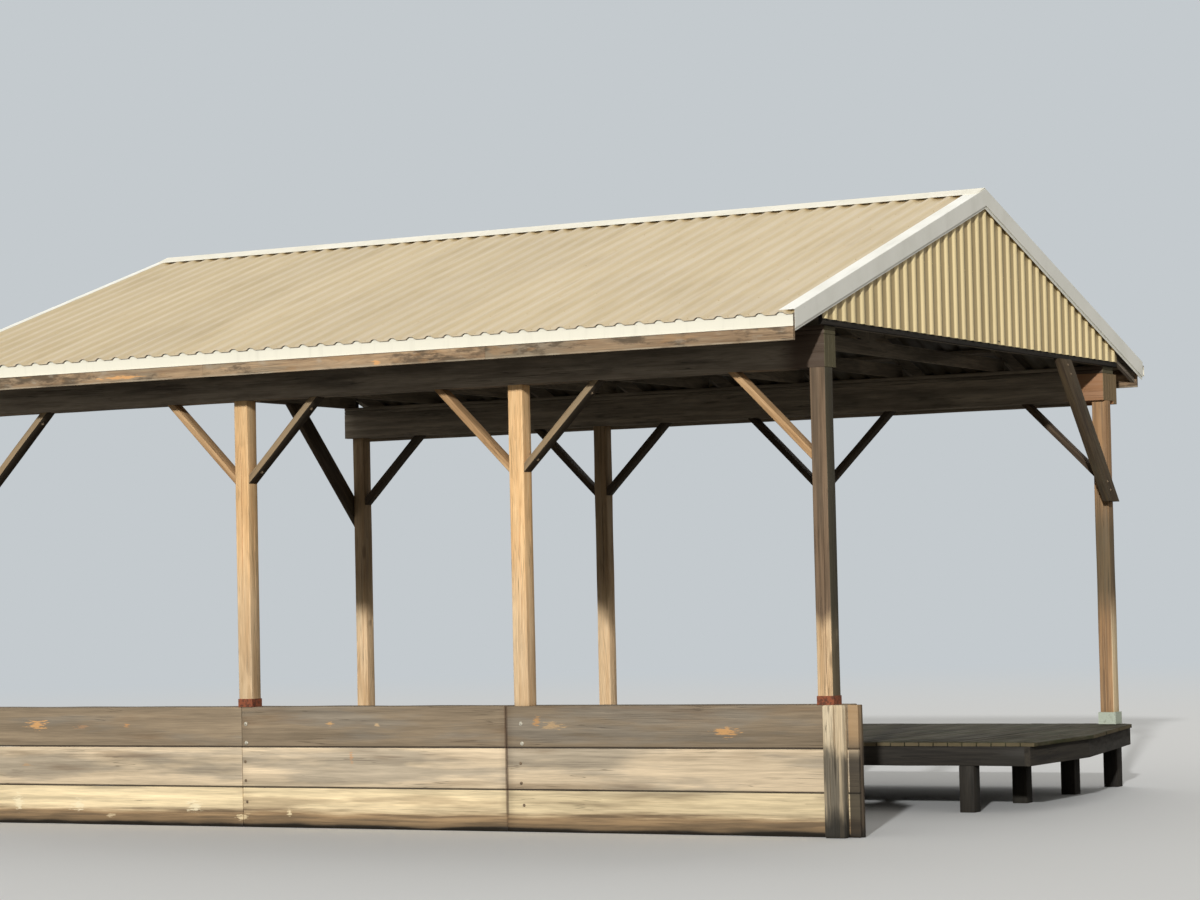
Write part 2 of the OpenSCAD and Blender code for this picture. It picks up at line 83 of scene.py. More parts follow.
def solids_of(name):
    """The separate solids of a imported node, each as a sorted list of its corners."""
    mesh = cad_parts[name].data
    keys, parent = {}, []

    def root(i):
        while parent[i] != i:
            parent[i] = parent[parent[i]]
            i = parent[i]
        return i

    index = []
    for vertex in mesh.vertices:
        key = tuple(round(c, 5) for c in vertex.co)
        if key not in keys:
            keys[key] = len(parent)
            parent.append(len(parent))
        index.append(keys[key])
    for polygon in mesh.polygons:
        first = root(index[polygon.vertices[0]])
        for other in polygon.vertices[1:]:
            parent[root(index[other])] = first
    groups = {}
    for key, i in keys.items():
        groups.setdefault(root(i), []).append(Vector(key))
    found = [sorted(group, key=tuple) for group in groups.values()]
    return sorted(found, key=lambda group: tuple(group[0]))


def box_of(points):
    lo = Vector([min(p[i] for p in points) for i in range(3)])
    hi = Vector([max(p[i] for p in points) for i in range(3)])
    return lo, hi


def boxes_of(name):
    return [box_of(points) for points in solids_of(name)]


def mean_y(points, z):
    """The mean Y of the points at a height."""
    ys = [p.y for p in points if abs(p.z - z) < TOUCH]
    return sum(ys) / len(ys)


def knee(points):
    """The box of a knee brace, and 1 or -1 as it leans to +X or to -X from its foot."""
    lo, hi = box_of(points)
    foot = next(p for p in points if abs(p.z - lo.z) < TOUCH)
    return lo, hi, 1 if abs(foot.x - lo.x) < TOUCH else -1


# Sizes and colours that a user would change

def length(name, description, default):
    return FloatProperty(name=name, description=description, default=default, min=0.0,
                         unit="LENGTH", subtype="DISTANCE", precision=4)


def colour(name, description, red, green, blue):
    return FloatVectorProperty(name=name, description=description, size=3, subtype="COLOR",
                               min=0.0, max=1.0, default=linear(red, green, blue)[:3])


def linear(red, green, blue):
    """A colour as it shows on a screen, from 0 to 255, as Blender's linear values."""
    def one(value):
        value /= 255
        return value / 12.92 if value <= 0.04045 else ((value + 0.055) / 1.055) ** 2.4
    return one(red), one(green), one(blue), 1.0


class BoathouseSizes(bpy.types.PropertyGroup):
    """Sizes in metres that a user would change."""
    arris: length("Arris", "Rounding of the long edges of the timbers", 0.005)
    wander: length("Wander", "How far the faces of a timber wander from straight", 0.002)
    split_depth: length("Split depth", "Depth of the drying splits in the posts", 0.022)
    split_mouth: length("Split mouth", "Width of the drying splits in the posts", 0.006)
    rib_foot: length("Rib foot", "Width of a rib at its foot", 0.092)
    rib_top: length("Rib top", "Width of a rib at its top", 0.046)
    rib_height: length("Rib height", "Height of a rib", 0.023)
    deck_board: length("Deck board", "Width of a deck board", 0.140)
    deck_gap: length("Deck gap", "Gap between deck boards", 0.008)
    bolt_washer: length("Bolt washer", "Radius of the bolt washers", 0.024)
    screw_washer: length("Screw washer", "Radius of the washers of the sheet screws", 0.0085)
    sheet_ribs: IntProperty(name="Ribs in a sheet", default=5, min=2, max=9,
                            description="Number of ribs from one side lap to the next")


class BoathouseColours(bpy.types.PropertyGroup):
    """Colours that a user would change, given as they show on a screen."""
    post_light: colour("Post, light", "Sunlit side of the post timber", 240, 208, 164)
    post_dark: colour("Post, dark", "Darker grain of the post timber", 214, 176, 130)
    frame_light: colour("Frame, light", "Lighter grain of the roof timbers", 184, 170, 150)
    frame_dark: colour("Frame, dark", "Darker grain of the roof timbers", 140, 128, 112)
    brace_light: colour("Brace, light", "Lighter grain of the knee braces", 212, 173, 125)
    brace_dark: colour("Brace, dark", "Darker grain of the knee braces", 170, 132, 90)
    # Shaded timber: the colours of the roof's shadow, painted on the far posts above a height
    shade_light: colour("Shaded timber, light", "Lighter grain of timber in painted roof shadow",
                        112, 92, 66)
    shade_dark: colour("Shaded timber, dark", "Darker grain of timber in painted roof shadow",
                       74, 58, 42)
    wall_top: colour("Bulkhead, top course", "Weathered upper planks", 150, 132, 107)
    wall_middle: colour("Bulkhead, middle course", "Bleached middle planks", 226, 204, 170)
    wall_low: colour("Bulkhead, low course", "Pale planks near the water", 244, 221, 177)
    # Deck colours are darkened as painted shade of the roof over the deck
    deck_light: colour("Deck, light", "Lighter grain of the deck", 82, 75, 52)
    deck_dark: colour("Deck, dark", "Darker grain of the deck", 52, 46, 31)
    roof: colour("Roof sheet", "Paint of the roof sheets", 210, 190, 150)
    gable: colour("Gable sheet", "Paint of the gable sheets", 252, 230, 176)
    trim: colour("White trim", "Paint of the eave trims and the ridge cap", 247, 242, 222)
    rake: colour("Rake trim", "Paint of the rake trims", 252, 251, 240)
    rust: colour("Rust", "Rusted steel of the post bands", 146, 80, 50)


# Shader and geometry nodes

def put(tree, kind, inputs=None, **settings):
    """A new node with its settings, and its inputs linked or set."""
    made = tree.nodes.new(kind)
    for key, value in settings.items():
        setattr(made, key, value)
    for key, value in (inputs or {}).items():
        if isinstance(value, bpy.types.NodeSocket):
            tree.links.new(value, made.inputs[key])
        else:
            made.inputs[key].default_value = value
    return made


# Sockets of the Mix node for colours, and of the Random Value node for numbers and vectors
MIX_SHARE, MIX_A, MIX_B, MIX_COLOUR = 0, 6, 7, 2
RANDOM = {"FLOAT": (2, 3, 1), "FLOAT_VECTOR": (0, 1, 0)}  # least, most and result
RANDOM_SEED = 8


def rgba(value, share=1.0):
    """A linear colour at a share of its brightness, with full alpha."""
    return (*(c * share for c in value[:3]), 1.0)


class Finish:
    """A material under construction: short ways to add its nodes, and its colour so far."""

    def __init__(self, name, roughness=0.8, metallic=0.0):
        self.material = bpy.data.materials.new(name)
        self.material.use_nodes = True
        self.tree = self.material.node_tree
        self.shader = self.tree.nodes["Principled BSDF"]
        self.shader.inputs["Roughness"].default_value = roughness
        self.shader.inputs["Metallic"].default_value = metallic
        self.place = put(self.tree, "ShaderNodeTexCoord").outputs["Object"]
        self.shade = None

    def attribute(self, name, output="Fac"):
        return put(self.tree, "ShaderNodeAttribute", attribute_name=name).outputs[output]

    def axis(self, index, vector=None):
        """One of the three numbers of a vector, or of the place if none is given."""
        vector = self.place if vector is None else vector
        return put(self.tree, "ShaderNodeSeparateXYZ", {0: vector}).outputs[index]

    def across(self):
        """The place across the width of a board, 0 on its middle line."""
        return self.axis(Y, self.attribute("grain", "Vector"))

    def turned(self, vector, degrees=(0, 0, 0), scale=(1, 1, 1), shift=(0, 0, 0)):
        angles = [math.radians(a) for a in degrees]
        inputs = {"Vector": vector, "Rotation": angles, "Scale": scale, "Location": shift}
        return put(self.tree, "ShaderNodeMapping", inputs).outputs[0]

    def noise(self, vector, scale, detail=3.0, rough=0.5, shift=(0, 0, 0), bend=0.0):
        """Noise over a vector. A scale of three numbers stretches it along the axes."""
        if isinstance(scale, tuple):
            vector, scale = self.turned(vector, scale=scale, shift=shift), 1.0
        inputs = {"Vector": vector, "Scale": scale, "Detail": detail, "Roughness": rough,
                  "Distortion": bend}
        return put(self.tree, "ShaderNodeTexNoise", inputs).outputs[0]

    def math(self, operation, a, b=None):
        inputs = {0: a} if b is None else {0: a, 1: b}
        return put(self.tree, "ShaderNodeMath", inputs, operation=operation).outputs[0]

    def plus(self, a, b):
        return self.math("ADD", a, b)

    def times(self, a, b):
        return self.math("MULTIPLY", a, b)

    def away(self, value, middle):
        """How far a value is from a middle."""
        return self.math("ABSOLUTE", self.math("SUBTRACT", value, middle))

    def moved(self, value, noise, amount, middle=0.5):
        """A value that a noise moves up and down."""
        return self.plus(value, self.times(self.math("SUBTRACT", noise, middle), amount))

    def height(self, scale, detail, amount):
        """Z, moved up and down by a noise over the place."""
        return self.moved(self.axis(Z), self.noise(self.place, scale, detail), amount)

    def distance(self, vector):
        return put(self.tree, "ShaderNodeVectorMath", {0: vector},
                   operation="LENGTH").outputs["Value"]

    def patch(self, at, height, wide, tall, noise, amount, middle):
        """The distance from the middle of an oval patch on an upright face, about 1 on its
        outline, which a noise tears. at is its place along X, wide and tall are half its size."""
        off = self.turned(self.place, scale=(1 / wide, 0, 1 / tall),
                          shift=(-at / wide, 0, -height / tall))
        return self.moved(self.distance(off), noise, amount, middle)

    def step(self, value, start, stop, to_low=0.0, to_high=1.0):
        """The value turned smoothly from to_low at start to to_high at stop."""
        inputs = {"Value": value, "From Min": start, "From Max": stop, "To Min": to_low,
                  "To Max": to_high}
        return put(self.tree, "ShaderNodeMapRange", inputs,
                   interpolation_type="SMOOTHSTEP").outputs[0]

    def band(self, value, start, full, last, stop):
        """0 up to start, 1 from full to last, and 0 again from stop on."""
        return self.times(self.step(value, start, full), self.step(value, stop, last))

    def mix(self, share, a, b, blend="MIX"):
        inputs = {MIX_SHARE: share, MIX_A: a, MIX_B: b}
        return put(self.tree, "ShaderNodeMix", inputs, data_type="RGBA",
                   blend_type=blend).outputs[MIX_COLOUR]

    def tint(self, share, tone, blend="MIX"):
        """Lays a tone over the colour so far."""
        self.shade = self.mix(share, self.shade, tone, blend)

    def stain(self, value, start, stop, share, *screen):
        """Lays a screen colour over the colour so far, from nothing where the value is at start
        to the share where it is at stop."""
        self.tint(self.step(value, start, stop, 0.0, share), linear(*screen))

    def light(self, value, start, stop, least, most):
        """Multiplies the colour so far by a brightness that follows a value."""
        level = self.step(value, start, stop, least, most)
        grey = put(self.tree, "ShaderNodeCombineColor", {0: level, 1: level, 2: level})
        self.tint(1.0, grey.outputs[0], "MULTIPLY")

    def done(self, relief, distance, strength=1.0, rough=None):
        """The material, with its colour and its bump linked, and its roughness where it varies."""
        bump = put(self.tree, "ShaderNodeBump",
                   {"Height": relief, "Distance": distance, "Strength": strength})
        for name, socket in (("Base Color", self.shade), ("Roughness", rough),
                             ("Normal", bump.outputs[0])):
            if socket is not None:
                self.tree.links.new(socket, self.shader.inputs[name])
        return self.material


def board_grain(f):
    """The tone of a board, and its grain place, which is its own for every board."""
    tone, grain = f.attribute("tone"), f.attribute("grain", "Vector")
    spread = put(f.tree, "ShaderNodeCombineXYZ", {
        X: f.times(tone, 13.7), Y: f.times(tone, 9.1), Z: f.times(tone, 5.3)}).outputs[0]
    return tone, put(f.tree, "ShaderNodeVectorMath", {0: grain, 1: spread},
                     operation="ADD").outputs[0]


def cracks(f, grain, scale, half, regions, start, stop):
    """Thin cracks along the grain, half their width wide to each side, in the regions where a
    broad noise goes from start to stop."""
    thread = f.step(f.away(f.noise(grain, scale, 1), 0.5), 0.0, half, 1.0, 0.0)
    where = f.noise(grain, regions, 2, shift=(3, 1, 7))
    return f.times(thread, f.step(where, start, stop))


def wood(name, tones, grey, greyness=0.4, knots=0.3, checks=0.6, lines=0.3, later=None,
         along=None):
    """Timber with its grain along the board. tones are its light and its dark one, grey is the
    screen colour of weathered patches, and later adds what is special to one kind. Boards made
    here carry their own grain attribute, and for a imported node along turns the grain's direction
    onto X, in degrees."""
    light, dark = tones
    f = Finish(name, roughness=0.82)
    if along is None:
        tone, grain = board_grain(f)
    else:
        grain = f.turned(f.place, along)
        tone = f.noise(f.place, (2.3, 0.9, 0.9), 0)
    streak = f.noise(grain, (1.1, 17, 17), 4, 0.6)
    f.shade = f.mix(f.step(streak, 0.3, 0.68), rgba(dark), rgba(light))
    rings = f.noise(grain, (0.5, 6.5, 6.5), 1, bend=0.3)
    late = f.step(f.math("FRACT", f.times(rings, 17.0)), 0.45, 0.95, 0.0, lines)
    f.tint(late, rgba(dark, 0.55))
    patch = f.noise(grain, (0.6, 3.4, 3.4), 5, 0.62)
    f.stain(patch, 0.66 - 0.4 * greyness, 0.78 - 0.3 * greyness, min(1.0, 0.45 + greyness / 2),
            *grey)
    cells = put(f.tree, "ShaderNodeTexVoronoi",
                {"Vector": f.turned(grain, scale=(1.5, 5.0, 5.0)), "Scale": 1.0}).outputs
    knot = f.times(f.step(cells["Distance"], 0.17, 0.07),
                   f.step(f.axis(0, cells["Color"]), 1.0 - knots, 1.02 - knots, 0.0, 0.8))
    f.tint(knot, rgba(dark, 0.42))
    fine = f.noise(grain, (7, 240, 240), 2)
    f.light(fine, 0.25, 0.75, 0.82, 1.1)
    gap = cracks(f, grain, (0.75, 42, 42), 0.016, (1.4, 5, 5), 0.62 - 0.2 * checks,
                 0.72 - 0.2 * checks)
    f.tint(f.times(gap, 0.75), rgba(dark, 0.22))
    f.light(tone, 0.0, 1.0, 0.84, 1.1)
    if along is None:
        f.tint(f.times(f.attribute("end"), 0.45), rgba(dark, 0.6))
    if later:
        later(f)
    relief = f.plus(f.times(fine, 0.3), f.times(late, -0.5))
    relief = f.plus(relief, f.times(gap, -1.6))
    return f.done(relief, 0.0016, rough=f.step(streak, 0.3, 0.7, 0.9, 0.72))


def sheet(name, paint, across, dirt, pan=0.0):
    """Painted ribbed sheet. across is the axis over which the ribs repeat, and pan is how much
    painted shade, with some dust, darkens the flats between the ribs."""
    f = Finish(name, roughness=0.46)
    rise = f.attribute("rise")
    f.shade = rgba(paint)
    f.light(f.attribute("tone"), 0.0, 1.0, 0.955, 1.03)
    streaks = f.noise(f.place, (9, 0.7, 0.7) if across == X else (0.7, 9, 0.5), 5, 0.6)
    f.stain(streaks, 0.48, 0.8, dirt, 122, 108, 86)
    f.stain(f.noise(f.place, 0.9, 4), 0.4, 0.75, dirt * 0.8, 150, 132, 108)
    f.stain(f.noise(f.place, 60.0, 2), 0.72, 0.8, 0.3, 90, 80, 62)
    # Painted shade: the flats between the ribs darkened as the ribs' shadow, with some dust
    f.stain(rise, 0.3, 0.1, pan, 132, 106, 64)
    # Painted shade in the crease at each rib's foot
    foot = f.times(f.band(rise, 0.0, 0.06, 0.2, 0.5), 0.05 + pan / 4)
    f.tint(foot, linear(96, 82, 60))
    canning = f.noise(f.place, (5, 1.2, 1.2) if across == X else (1, 5, 1.2), 2)
    return f.done(canning, 0.004, 0.5, f.step(streaks, 0.3, 0.8, 0.4, 0.62))


def folded(name, paint, dirt):
    """Painted folded steel: soft gloss, chalky patches and thin runs of dirt."""
    f = Finish(name, roughness=0.42)
    f.shade = rgba(paint)
    f.stain(f.noise(f.place, (14, 2.2, 1.2), 5, 0.6), 0.5, 0.85, dirt, 146, 138, 118)
    chalk = f.noise(f.place, 2.6, 5)
    f.stain(chalk, 0.42, 0.7, dirt * 0.6, 196, 194, 178)
    f.stain(f.noise(f.place, 75.0, 1), 0.74, 0.8, 0.4, 104, 94, 74)
    return f.done(f.noise(f.place, 7.0, 2), 0.0015, 0.5, f.step(chalk, 0.3, 0.7, 0.36, 0.58))


def steel(name, base, patina, amount, roughness=0.5, metallic=0.0):
    """Weathered metal or paint: a base tone, a screen colour over an amount of it, and pits."""
    f = Finish(name, roughness, metallic)
    f.shade = rgba(base)
    cover = f.noise(f.place, 34.0, 5, 0.65)
    f.stain(cover, 0.7 - amount * 0.5, 0.82 - amount * 0.4, 1.0, *patina)
    fine = f.noise(f.place, 190.0, 2)
    f.light(fine, 0.3, 0.7, 0.8, 1.12)
    return f.done(f.plus(cover, f.times(fine, 0.4)), 0.0012, 0.7)


# Timbers

def give(mesh, name, domain, values, kind="FLOAT"):
    """Stores values on a mesh as a named attribute."""
    field = "vector" if kind == "FLOAT_VECTOR" else "value"
    layer = mesh.attributes.new(name, kind, domain)
    layer.data.foreach_set(field, np.array(values, np.float32).ravel())


class Lumber:
    """Timbers gathered into one mesh. Each has its own grain along its length and its own tone."""

    def __init__(self, arris=0.005, wander=0.002):
        self.arris, self.wander = arris, wander
        self.verts, self.faces = [], []
        self.grain, self.tone, self.end = [], [], []

    def face(self, corners, end=0.0):
        self.faces.append(corners)
        self.end.append(end)

    @staticmethod
    def section(half_v, half_w, arris, splits):
        """Points (v, w, None) round a timber's section with soft corners, and in between three
        points (0, 0, split) for every split: its two lips and its bottom."""
        outline = []
        corners = ((half_v, half_w), (-half_v, half_w), (-half_v, -half_w), (half_v, -half_w))
        for n, (cv, cw) in enumerate(corners):
            sv, sw = math.copysign(1, cv), math.copysign(1, cw)
            upright, level = (cv, cw - sw * arris), (cv - sv * arris, cw)
            soft = (cv - sv * arris * 0.3, cw - sw * arris * 0.3)
            ends = (upright, level) if n % 2 == 0 else (level, upright)
            outline += [(*ends[0], None), (*soft, None), (*ends[1], None)]
            side = ("+w", "-v", "-w", "+v")[n]
            sign = 1 if side in ("-w", "+v") else -1
            for split in sorted((s for s in splits if s[0] == side), key=lambda s: sign * s[1]):
                outline += [(0, 0, (split, which, sign)) for which in (-1, 0, 1)]
        return outline

    def add(self, start, stop, across, width, depth, seed, cuts=(0.0, 0.0), splits=(),
            step=0.17, arris=None, wander=None, tone=None):
        """A timber on the line from start to stop. across is the way of its width, cuts are how
        far each end leans for a metre of width, and splits are (side, place, from, to, size),
        from and to as shares of the length and size as (mouth, depth)."""
        rng = random.Random(seed)
        arris = self.arris if arris is None else arris
        wander = self.wander if wander is None else wander
        tone = rng.random() if tone is None else tone
        start, stop = Vector(start), Vector(stop)
        along = (stop - start).normalized()
        across = Vector(across)
        across = (across - along * across.dot(along)).normalized()
        third = along.cross(across)
        total = (stop - start).length
        waves = [[(rng.uniform(0.5, 1.0), rng.uniform(1.5, 7.0), rng.uniform(0, 6.28))
                  for _ in range(3)] for _ in range(6)]

        def ripple(k, at):
            return sum(a * math.sin(b * at + c) for a, b, c in waves[k]) / 2.2

        def drift(k, at, other):
            return (wander * ripple(k, at + 3 * other)
                    + math.copysign(1, other) * wander * ripple(k + 1, at) / 2)

        def in_split(at, share, split, which, sign):
            side, where, begin, finish, (mouth, depth) = split
            reach = (share - begin) / (finish - begin)
            open_by = math.sin(math.pi * reach) ** 0.6 if 0 < reach < 1 else 0.0
            bottom = depth * open_by if which == 0 else 0.0
            half = half_w if side in ("+v", "-v") else half_v
            shut = 0.0006
            place = (where * half * 0.8 + 0.05 * width * ripple(5, at)
                     + which * sign * (shut + mouth * open_by / 2))
            outer = (half_v if side[1] == "v" else half_w) - bottom
            outer = outer if side[0] == "+" else -outer
            return (outer, place) if side[1] == "v" else (place, outer)

        half_v, half_w = width / 2, depth / 2
        outline = self.section(half_v, half_w, arris, splits)
        count = max(2, int(total / step))
        soft = min(arris, total * 0.1)
        stations = [0.0, soft, *(total * i / count for i in range(1, count)), total - soft, total]
        base = len(self.verts)
        for k, at in enumerate(stations):
            share = at / total
            inset = arris * 0.6 if k in (0, len(stations) - 1) else 0.0
            for v, w, cut in outline:
                if cut:
                    v, w = in_split(at, share, *cut)
                u = at + v * (cuts[0] * (1 - share) + cuts[1] * share)
                self.grain.append((u, v, w))
                self.tone.append(tone)
                dv, dw = drift(0, at, w), drift(2, at, v)
                v -= math.copysign(min(inset, abs(v)), v)
                w -= math.copysign(min(inset, abs(w)), w)
                point = start + along * u + across * (v + dv) + third * (w + dw)
                self.verts.append(tuple(point))
        n = len(outline)
        for i in range(len(stations) - 1):
            for j in range(n):
                a, b = base + i * n + j, base + i * n + (j + 1) % n
                self.face((a, b, b + n, a + n))
        self.face(tuple(base + j for j in range(n - 1, -1, -1)), 1.0)
        last = base + (len(stations) - 1) * n
        self.face(tuple(last + j for j in range(n)), 1.0)

    def quad(self, a, b, c, d, thick, seed, **more):
        """A timber whose side has the corners a, b at one end and d, c at the other, with a to d
        one long edge. thick is its thickness, set square to that side about its middle."""
        a, b, c, d = Vector(a), Vector(b), Vector(c), Vector(d)
        along = (d - a).normalized()
        over = (b - a) - along * (b - a).dot(along)
        width = over.length
        over.normalize()
        cuts = ((b - a).dot(along) / width, (c - d).dot(along) / width)
        self.add((a + b) / 2, (c + d) / 2, over, width, thick, seed, cuts=cuts, **more)

    def board(self, lo, hi, along, wide, seed, **more):
        """A timber that fills the box from lo to hi, with its length and width along two axes."""
        lo, hi = Vector(lo), Vector(hi)
        mid, size = (lo + hi) / 2, hi - lo
        start, stop = mid.copy(), mid.copy()
        start[along], stop[along] = lo[along], hi[along]
        across = Vector((0, 0, 0))
        across[wide] = 1
        self.add(start, stop, across, size[wide], size[3 - along - wide], seed, **more)

    def prism(self, outline, thick, along, seed):
        """A timber with any outline, given as points, and its thickness as a vector. Bevelling
        may number the corners in any order, so they and the faces are sorted by place."""
        tone = random.Random(seed).random()
        mesh = bmesh.new()
        floor = mesh.faces.new([mesh.verts.new(p) for p in outline])
        made = bmesh.ops.extrude_face_region(mesh, geom=[floor])
        moved = [v for v in made["geom"] if isinstance(v, bmesh.types.BMVert)]
        bmesh.ops.translate(mesh, vec=thick, verts=moved)
        bmesh.ops.bevel(mesh, geom=mesh.edges[:], offset=self.arris, segments=2, profile=0.6,
                        affect="EDGES")
        bmesh.ops.recalc_face_normals(mesh, faces=mesh.faces[:])
        along = Vector(along).normalized()
        third = Vector(thick).normalized()
        across = third.cross(along)
        middle = sum((Vector(p) for p in outline), Vector()) / len(outline)
        base = len(self.verts)
        corners = sorted(mesh.verts, key=lambda v: tuple(round(c, 6) for c in v.co))
        number = {vertex: base + n for n, vertex in enumerate(corners)}
        for vertex in corners:
            off = vertex.co - middle
            self.verts.append(tuple(vertex.co))
            self.grain.append((off.dot(along), off.dot(across), off.dot(third)))
            self.tone.append(tone)
        faces = []
        for f in mesh.faces:
            ring = [number[v] for v in f.verts]
            first = ring.index(min(ring))
            faces.append((ring[first:] + ring[:first], abs(f.normal.dot(along)) > 0.6))
        for ring, end in sorted(faces):
            self.face(tuple(ring), float(end))
        mesh.free()

    def loose(self, name, material):
        """The timbers as an object with their grain and their end faces marked."""
        made = new_mesh(name, self.verts, self.faces, material)
        give(made.data, "grain", "POINT", self.grain, "FLOAT_VECTOR")
        give(made.data, "end", "FACE", self.end)
        return made

    def build(self, name, material, slot, replaces):
        made = self.loose(name, material)
        give(made.data, "tone", "POINT", self.tone)
        return finished(made, replaces)


def linked(name, data):
    """A new object of the scene that holds the data."""
    made = bpy.data.objects.new(name, data)
    bpy.context.scene.collection.objects.link(made)
    return made


def new_mesh(name, verts, faces, material, sharp=50):
    """A smooth mesh with sharp edges above an angle, as an object in the scene."""
    mesh = bpy.data.meshes.new(name)
    mesh.from_pydata([tuple(v) for v in verts], [], faces)
    mesh.materials.append(material)
    mesh.shade_smooth()
    mesh.set_sharp_from_angle(angle=math.radians(sharp))
    mesh.update()
    return linked(name, mesh)


def finished(made, replaces=()):
    """Puts a piece on the building's one body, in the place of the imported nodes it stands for."""
    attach(made, "root")
    if replaces:
        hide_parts(*replaces)
    return made


class Solid:
    """Plain closed shapes gathered into one mesh."""

    def __init__(self):
        self.verts, self.faces = [], []

    def take(self, verts, faces):
        base = len(self.verts)
        self.verts += [tuple(v) for v in verts]
        self.faces += [tuple(base + i for i in face) for face in faces]

    def swept(self, profile, path):
        """A profile of points, anticlockwise as seen from the far end, carried along offsets."""
        verts = [Vector(p) + Vector(offset) for offset in path for p in profile]
        n = len(profile)
        faces = [(k * n + j, k * n + (j + 1) % n, (k + 1) * n + (j + 1) % n, (k + 1) * n + j)
                 for k in range(len(path) - 1) for j in range(n)]
        faces.append(tuple(range(n - 1, -1, -1)))
        faces.append(tuple((len(path) - 1) * n + j for j in range(n)))
        self.take(verts, faces)

    def turned(self, profile, sides, twist=0.0):
        """A profile of (radius, height), from the bottom of the axis to its top, round Z."""
        rings = profile[1:-1]
        verts = [(0, 0, profile[0][1])]
        for radius, z in rings:
            for k in range(sides):
                angle = twist + 2 * math.pi * k / sides
                verts.append((radius * math.cos(angle), radius * math.sin(angle), z))
        verts.append((0, 0, profile[-1][1]))
        faces = []
        for k in range(sides):
            after = (k + 1) % sides
            faces.append((0, 1 + after, 1 + k))
            for r in range(len(rings) - 1):
                a, b = 1 + r * sides, 1 + (r + 1) * sides
                faces.append((a + k, a + after, b + after, b + k))
            top = 1 + (len(rings) - 1) * sides
            faces.append((top + k, top + after, len(verts) - 1))
        self.take(verts, faces)

    def brick(self, lo, hi, edge=0.0):
        mesh = bmesh.new()
        lo, hi = Vector(lo), Vector(hi)
        size, mid = hi - lo, (lo + hi) / 2
        bmesh.ops.create_cube(mesh, size=1.0, matrix=Matrix.LocRotScale(mid, None, size))
        if edge:
            bmesh.ops.bevel(mesh, geom=mesh.edges[:], offset=edge, segments=2, affect="EDGES")
        self.take([v.co for v in mesh.verts], [[v.index for v in f.verts] for f in mesh.faces])
        mesh.free()

    def loose(self, name, material):
        return new_mesh(name, self.verts, self.faces, material, 35)

    def build(self, name, material, slot):
        return finished(self.loose(name, material))


class Ribbed:
    """Panels of ribbed sheet gathered into one mesh, each a thin closed shell that laps over the
    first rib of the next one."""

    def __init__(self, sizes, thick=0.001):
        self.s, self.thick = sizes, thick
        self.verts, self.faces, self.kind = [], [], []
        self.rise, self.tone = [], []

    def rib(self, middle, soft=0.010):
        """Places and heights across one rib, with its four corners softened."""
        foot, top, height = self.s.rib_foot / 2, self.s.rib_top / 2, self.s.rib_height
        run = math.hypot(foot - top, height)
        ux, uz = (foot - top) / run * soft, height / run * soft
        half = [(-foot - soft, 0.0), (-foot + ux, uz), (-top - ux, height - uz),
                (-top + soft, height)]
        return [(middle + x, z) for x, z in half] + [(middle - x, z) for x, z in reversed(half)]

    def panel(self, first, last, ribs, lap, point, reach, flip, rng, steps=6, extra=()):
        """One panel from first to last across. point turns a place across, a distance along and a
        height into a point, and reach tells how far the panel goes along at a place across."""
        line = [(first, 0.0)]
        for rib in ribs:
            line += [p for p in self.rib(rib) if first < p[0] < last]
        line.append((last, 0.0))
        for place in extra:
            if first < place < last:
                heights = np.interp(place, [p[0] for p in line], [p[1] for p in line])
                line = sorted(line + [(place, float(heights))])
        tone = rng.random()
        base, n = len(self.verts), len(line)
        raised = ribs[-1] - self.s.rib_foot if lap else last + 1
        for k in range(steps + 1):
            for layer in (self.thick, 0.0):
                for place, height in line:
                    lift = 0.0008 + (0.0014 if place > raised else 0.0)
                    along = reach(place) * k / steps
                    self.verts.append(tuple(point(place, along, height + lift + layer)))
                    self.rise.append(height / self.s.rib_height)
                    self.tone.append(tone)

        def face(kind, *corners):
            self.faces.append(tuple(reversed(corners)) if flip else corners)
            self.kind.append(kind)

        for k in range(steps):
            a, b = base + 2 * n * k, base + 2 * n * (k + 1)
            for j in range(n - 1):
                face(0, a + j, a + j + 1, b + j + 1, b + j)
                face(1, a + n + j, b + n + j, b + n + j + 1, a + n + j + 1)
            face(0, a, b, b + n, a + n)
            face(0, a + n - 1, a + 2 * n - 1, b + 2 * n - 1, b + n - 1)
        end = base + 2 * n * steps
        for j in range(n - 1):
            face(0, base + j, base + n + j, base + n + j + 1, base + j + 1)
            face(0, end + j, end + j + 1, end + n + j + 1, end + n + j)

    def build(self, name, top, under, slot, replaces):
        made = new_mesh(name, self.verts, self.faces, top, 40)
        made.data.materials.append(under)
        made.data.polygons.foreach_set("material_index", self.kind)
        give(made.data, "rise", "POINT", self.rise)
        give(made.data, "tone", "POINT", self.tone)
        return finished(made, replaces)


# Repeated pieces, made by geometry nodes

def node_group(name, inputs):
    """A new geometry node tree and the sockets of its named inputs, or None for them if the tree
    is there already."""
    if name in bpy.data.node_groups:
        return bpy.data.node_groups[name], None
    tree = bpy.data.node_groups.new(name, "GeometryNodeTree")
    for label, kind in inputs:
        tree.interface.new_socket(label, in_out="INPUT", socket_type="NodeSocket" + kind)
    tree.interface.new_socket("Geometry", in_out="OUTPUT", socket_type="NodeSocketGeometry")
    return tree, put(tree, "NodeGroupInput").outputs


def by_chance(tree, least, most, seed, kind="FLOAT"):
    """A random value between two, for every point or instance."""
    low_end, high_end, result = RANDOM[kind]
    inputs = {low_end: least, high_end: most, RANDOM_SEED: seed}
    return put(tree, "FunctionNodeRandomValue", inputs, data_type=kind).outputs[result]


def minus(tree, a, b):
    """The difference of two numbers."""
    return put(tree, "ShaderNodeMath", {0: a, 1: b}, operation="SUBTRACT").outputs[0]


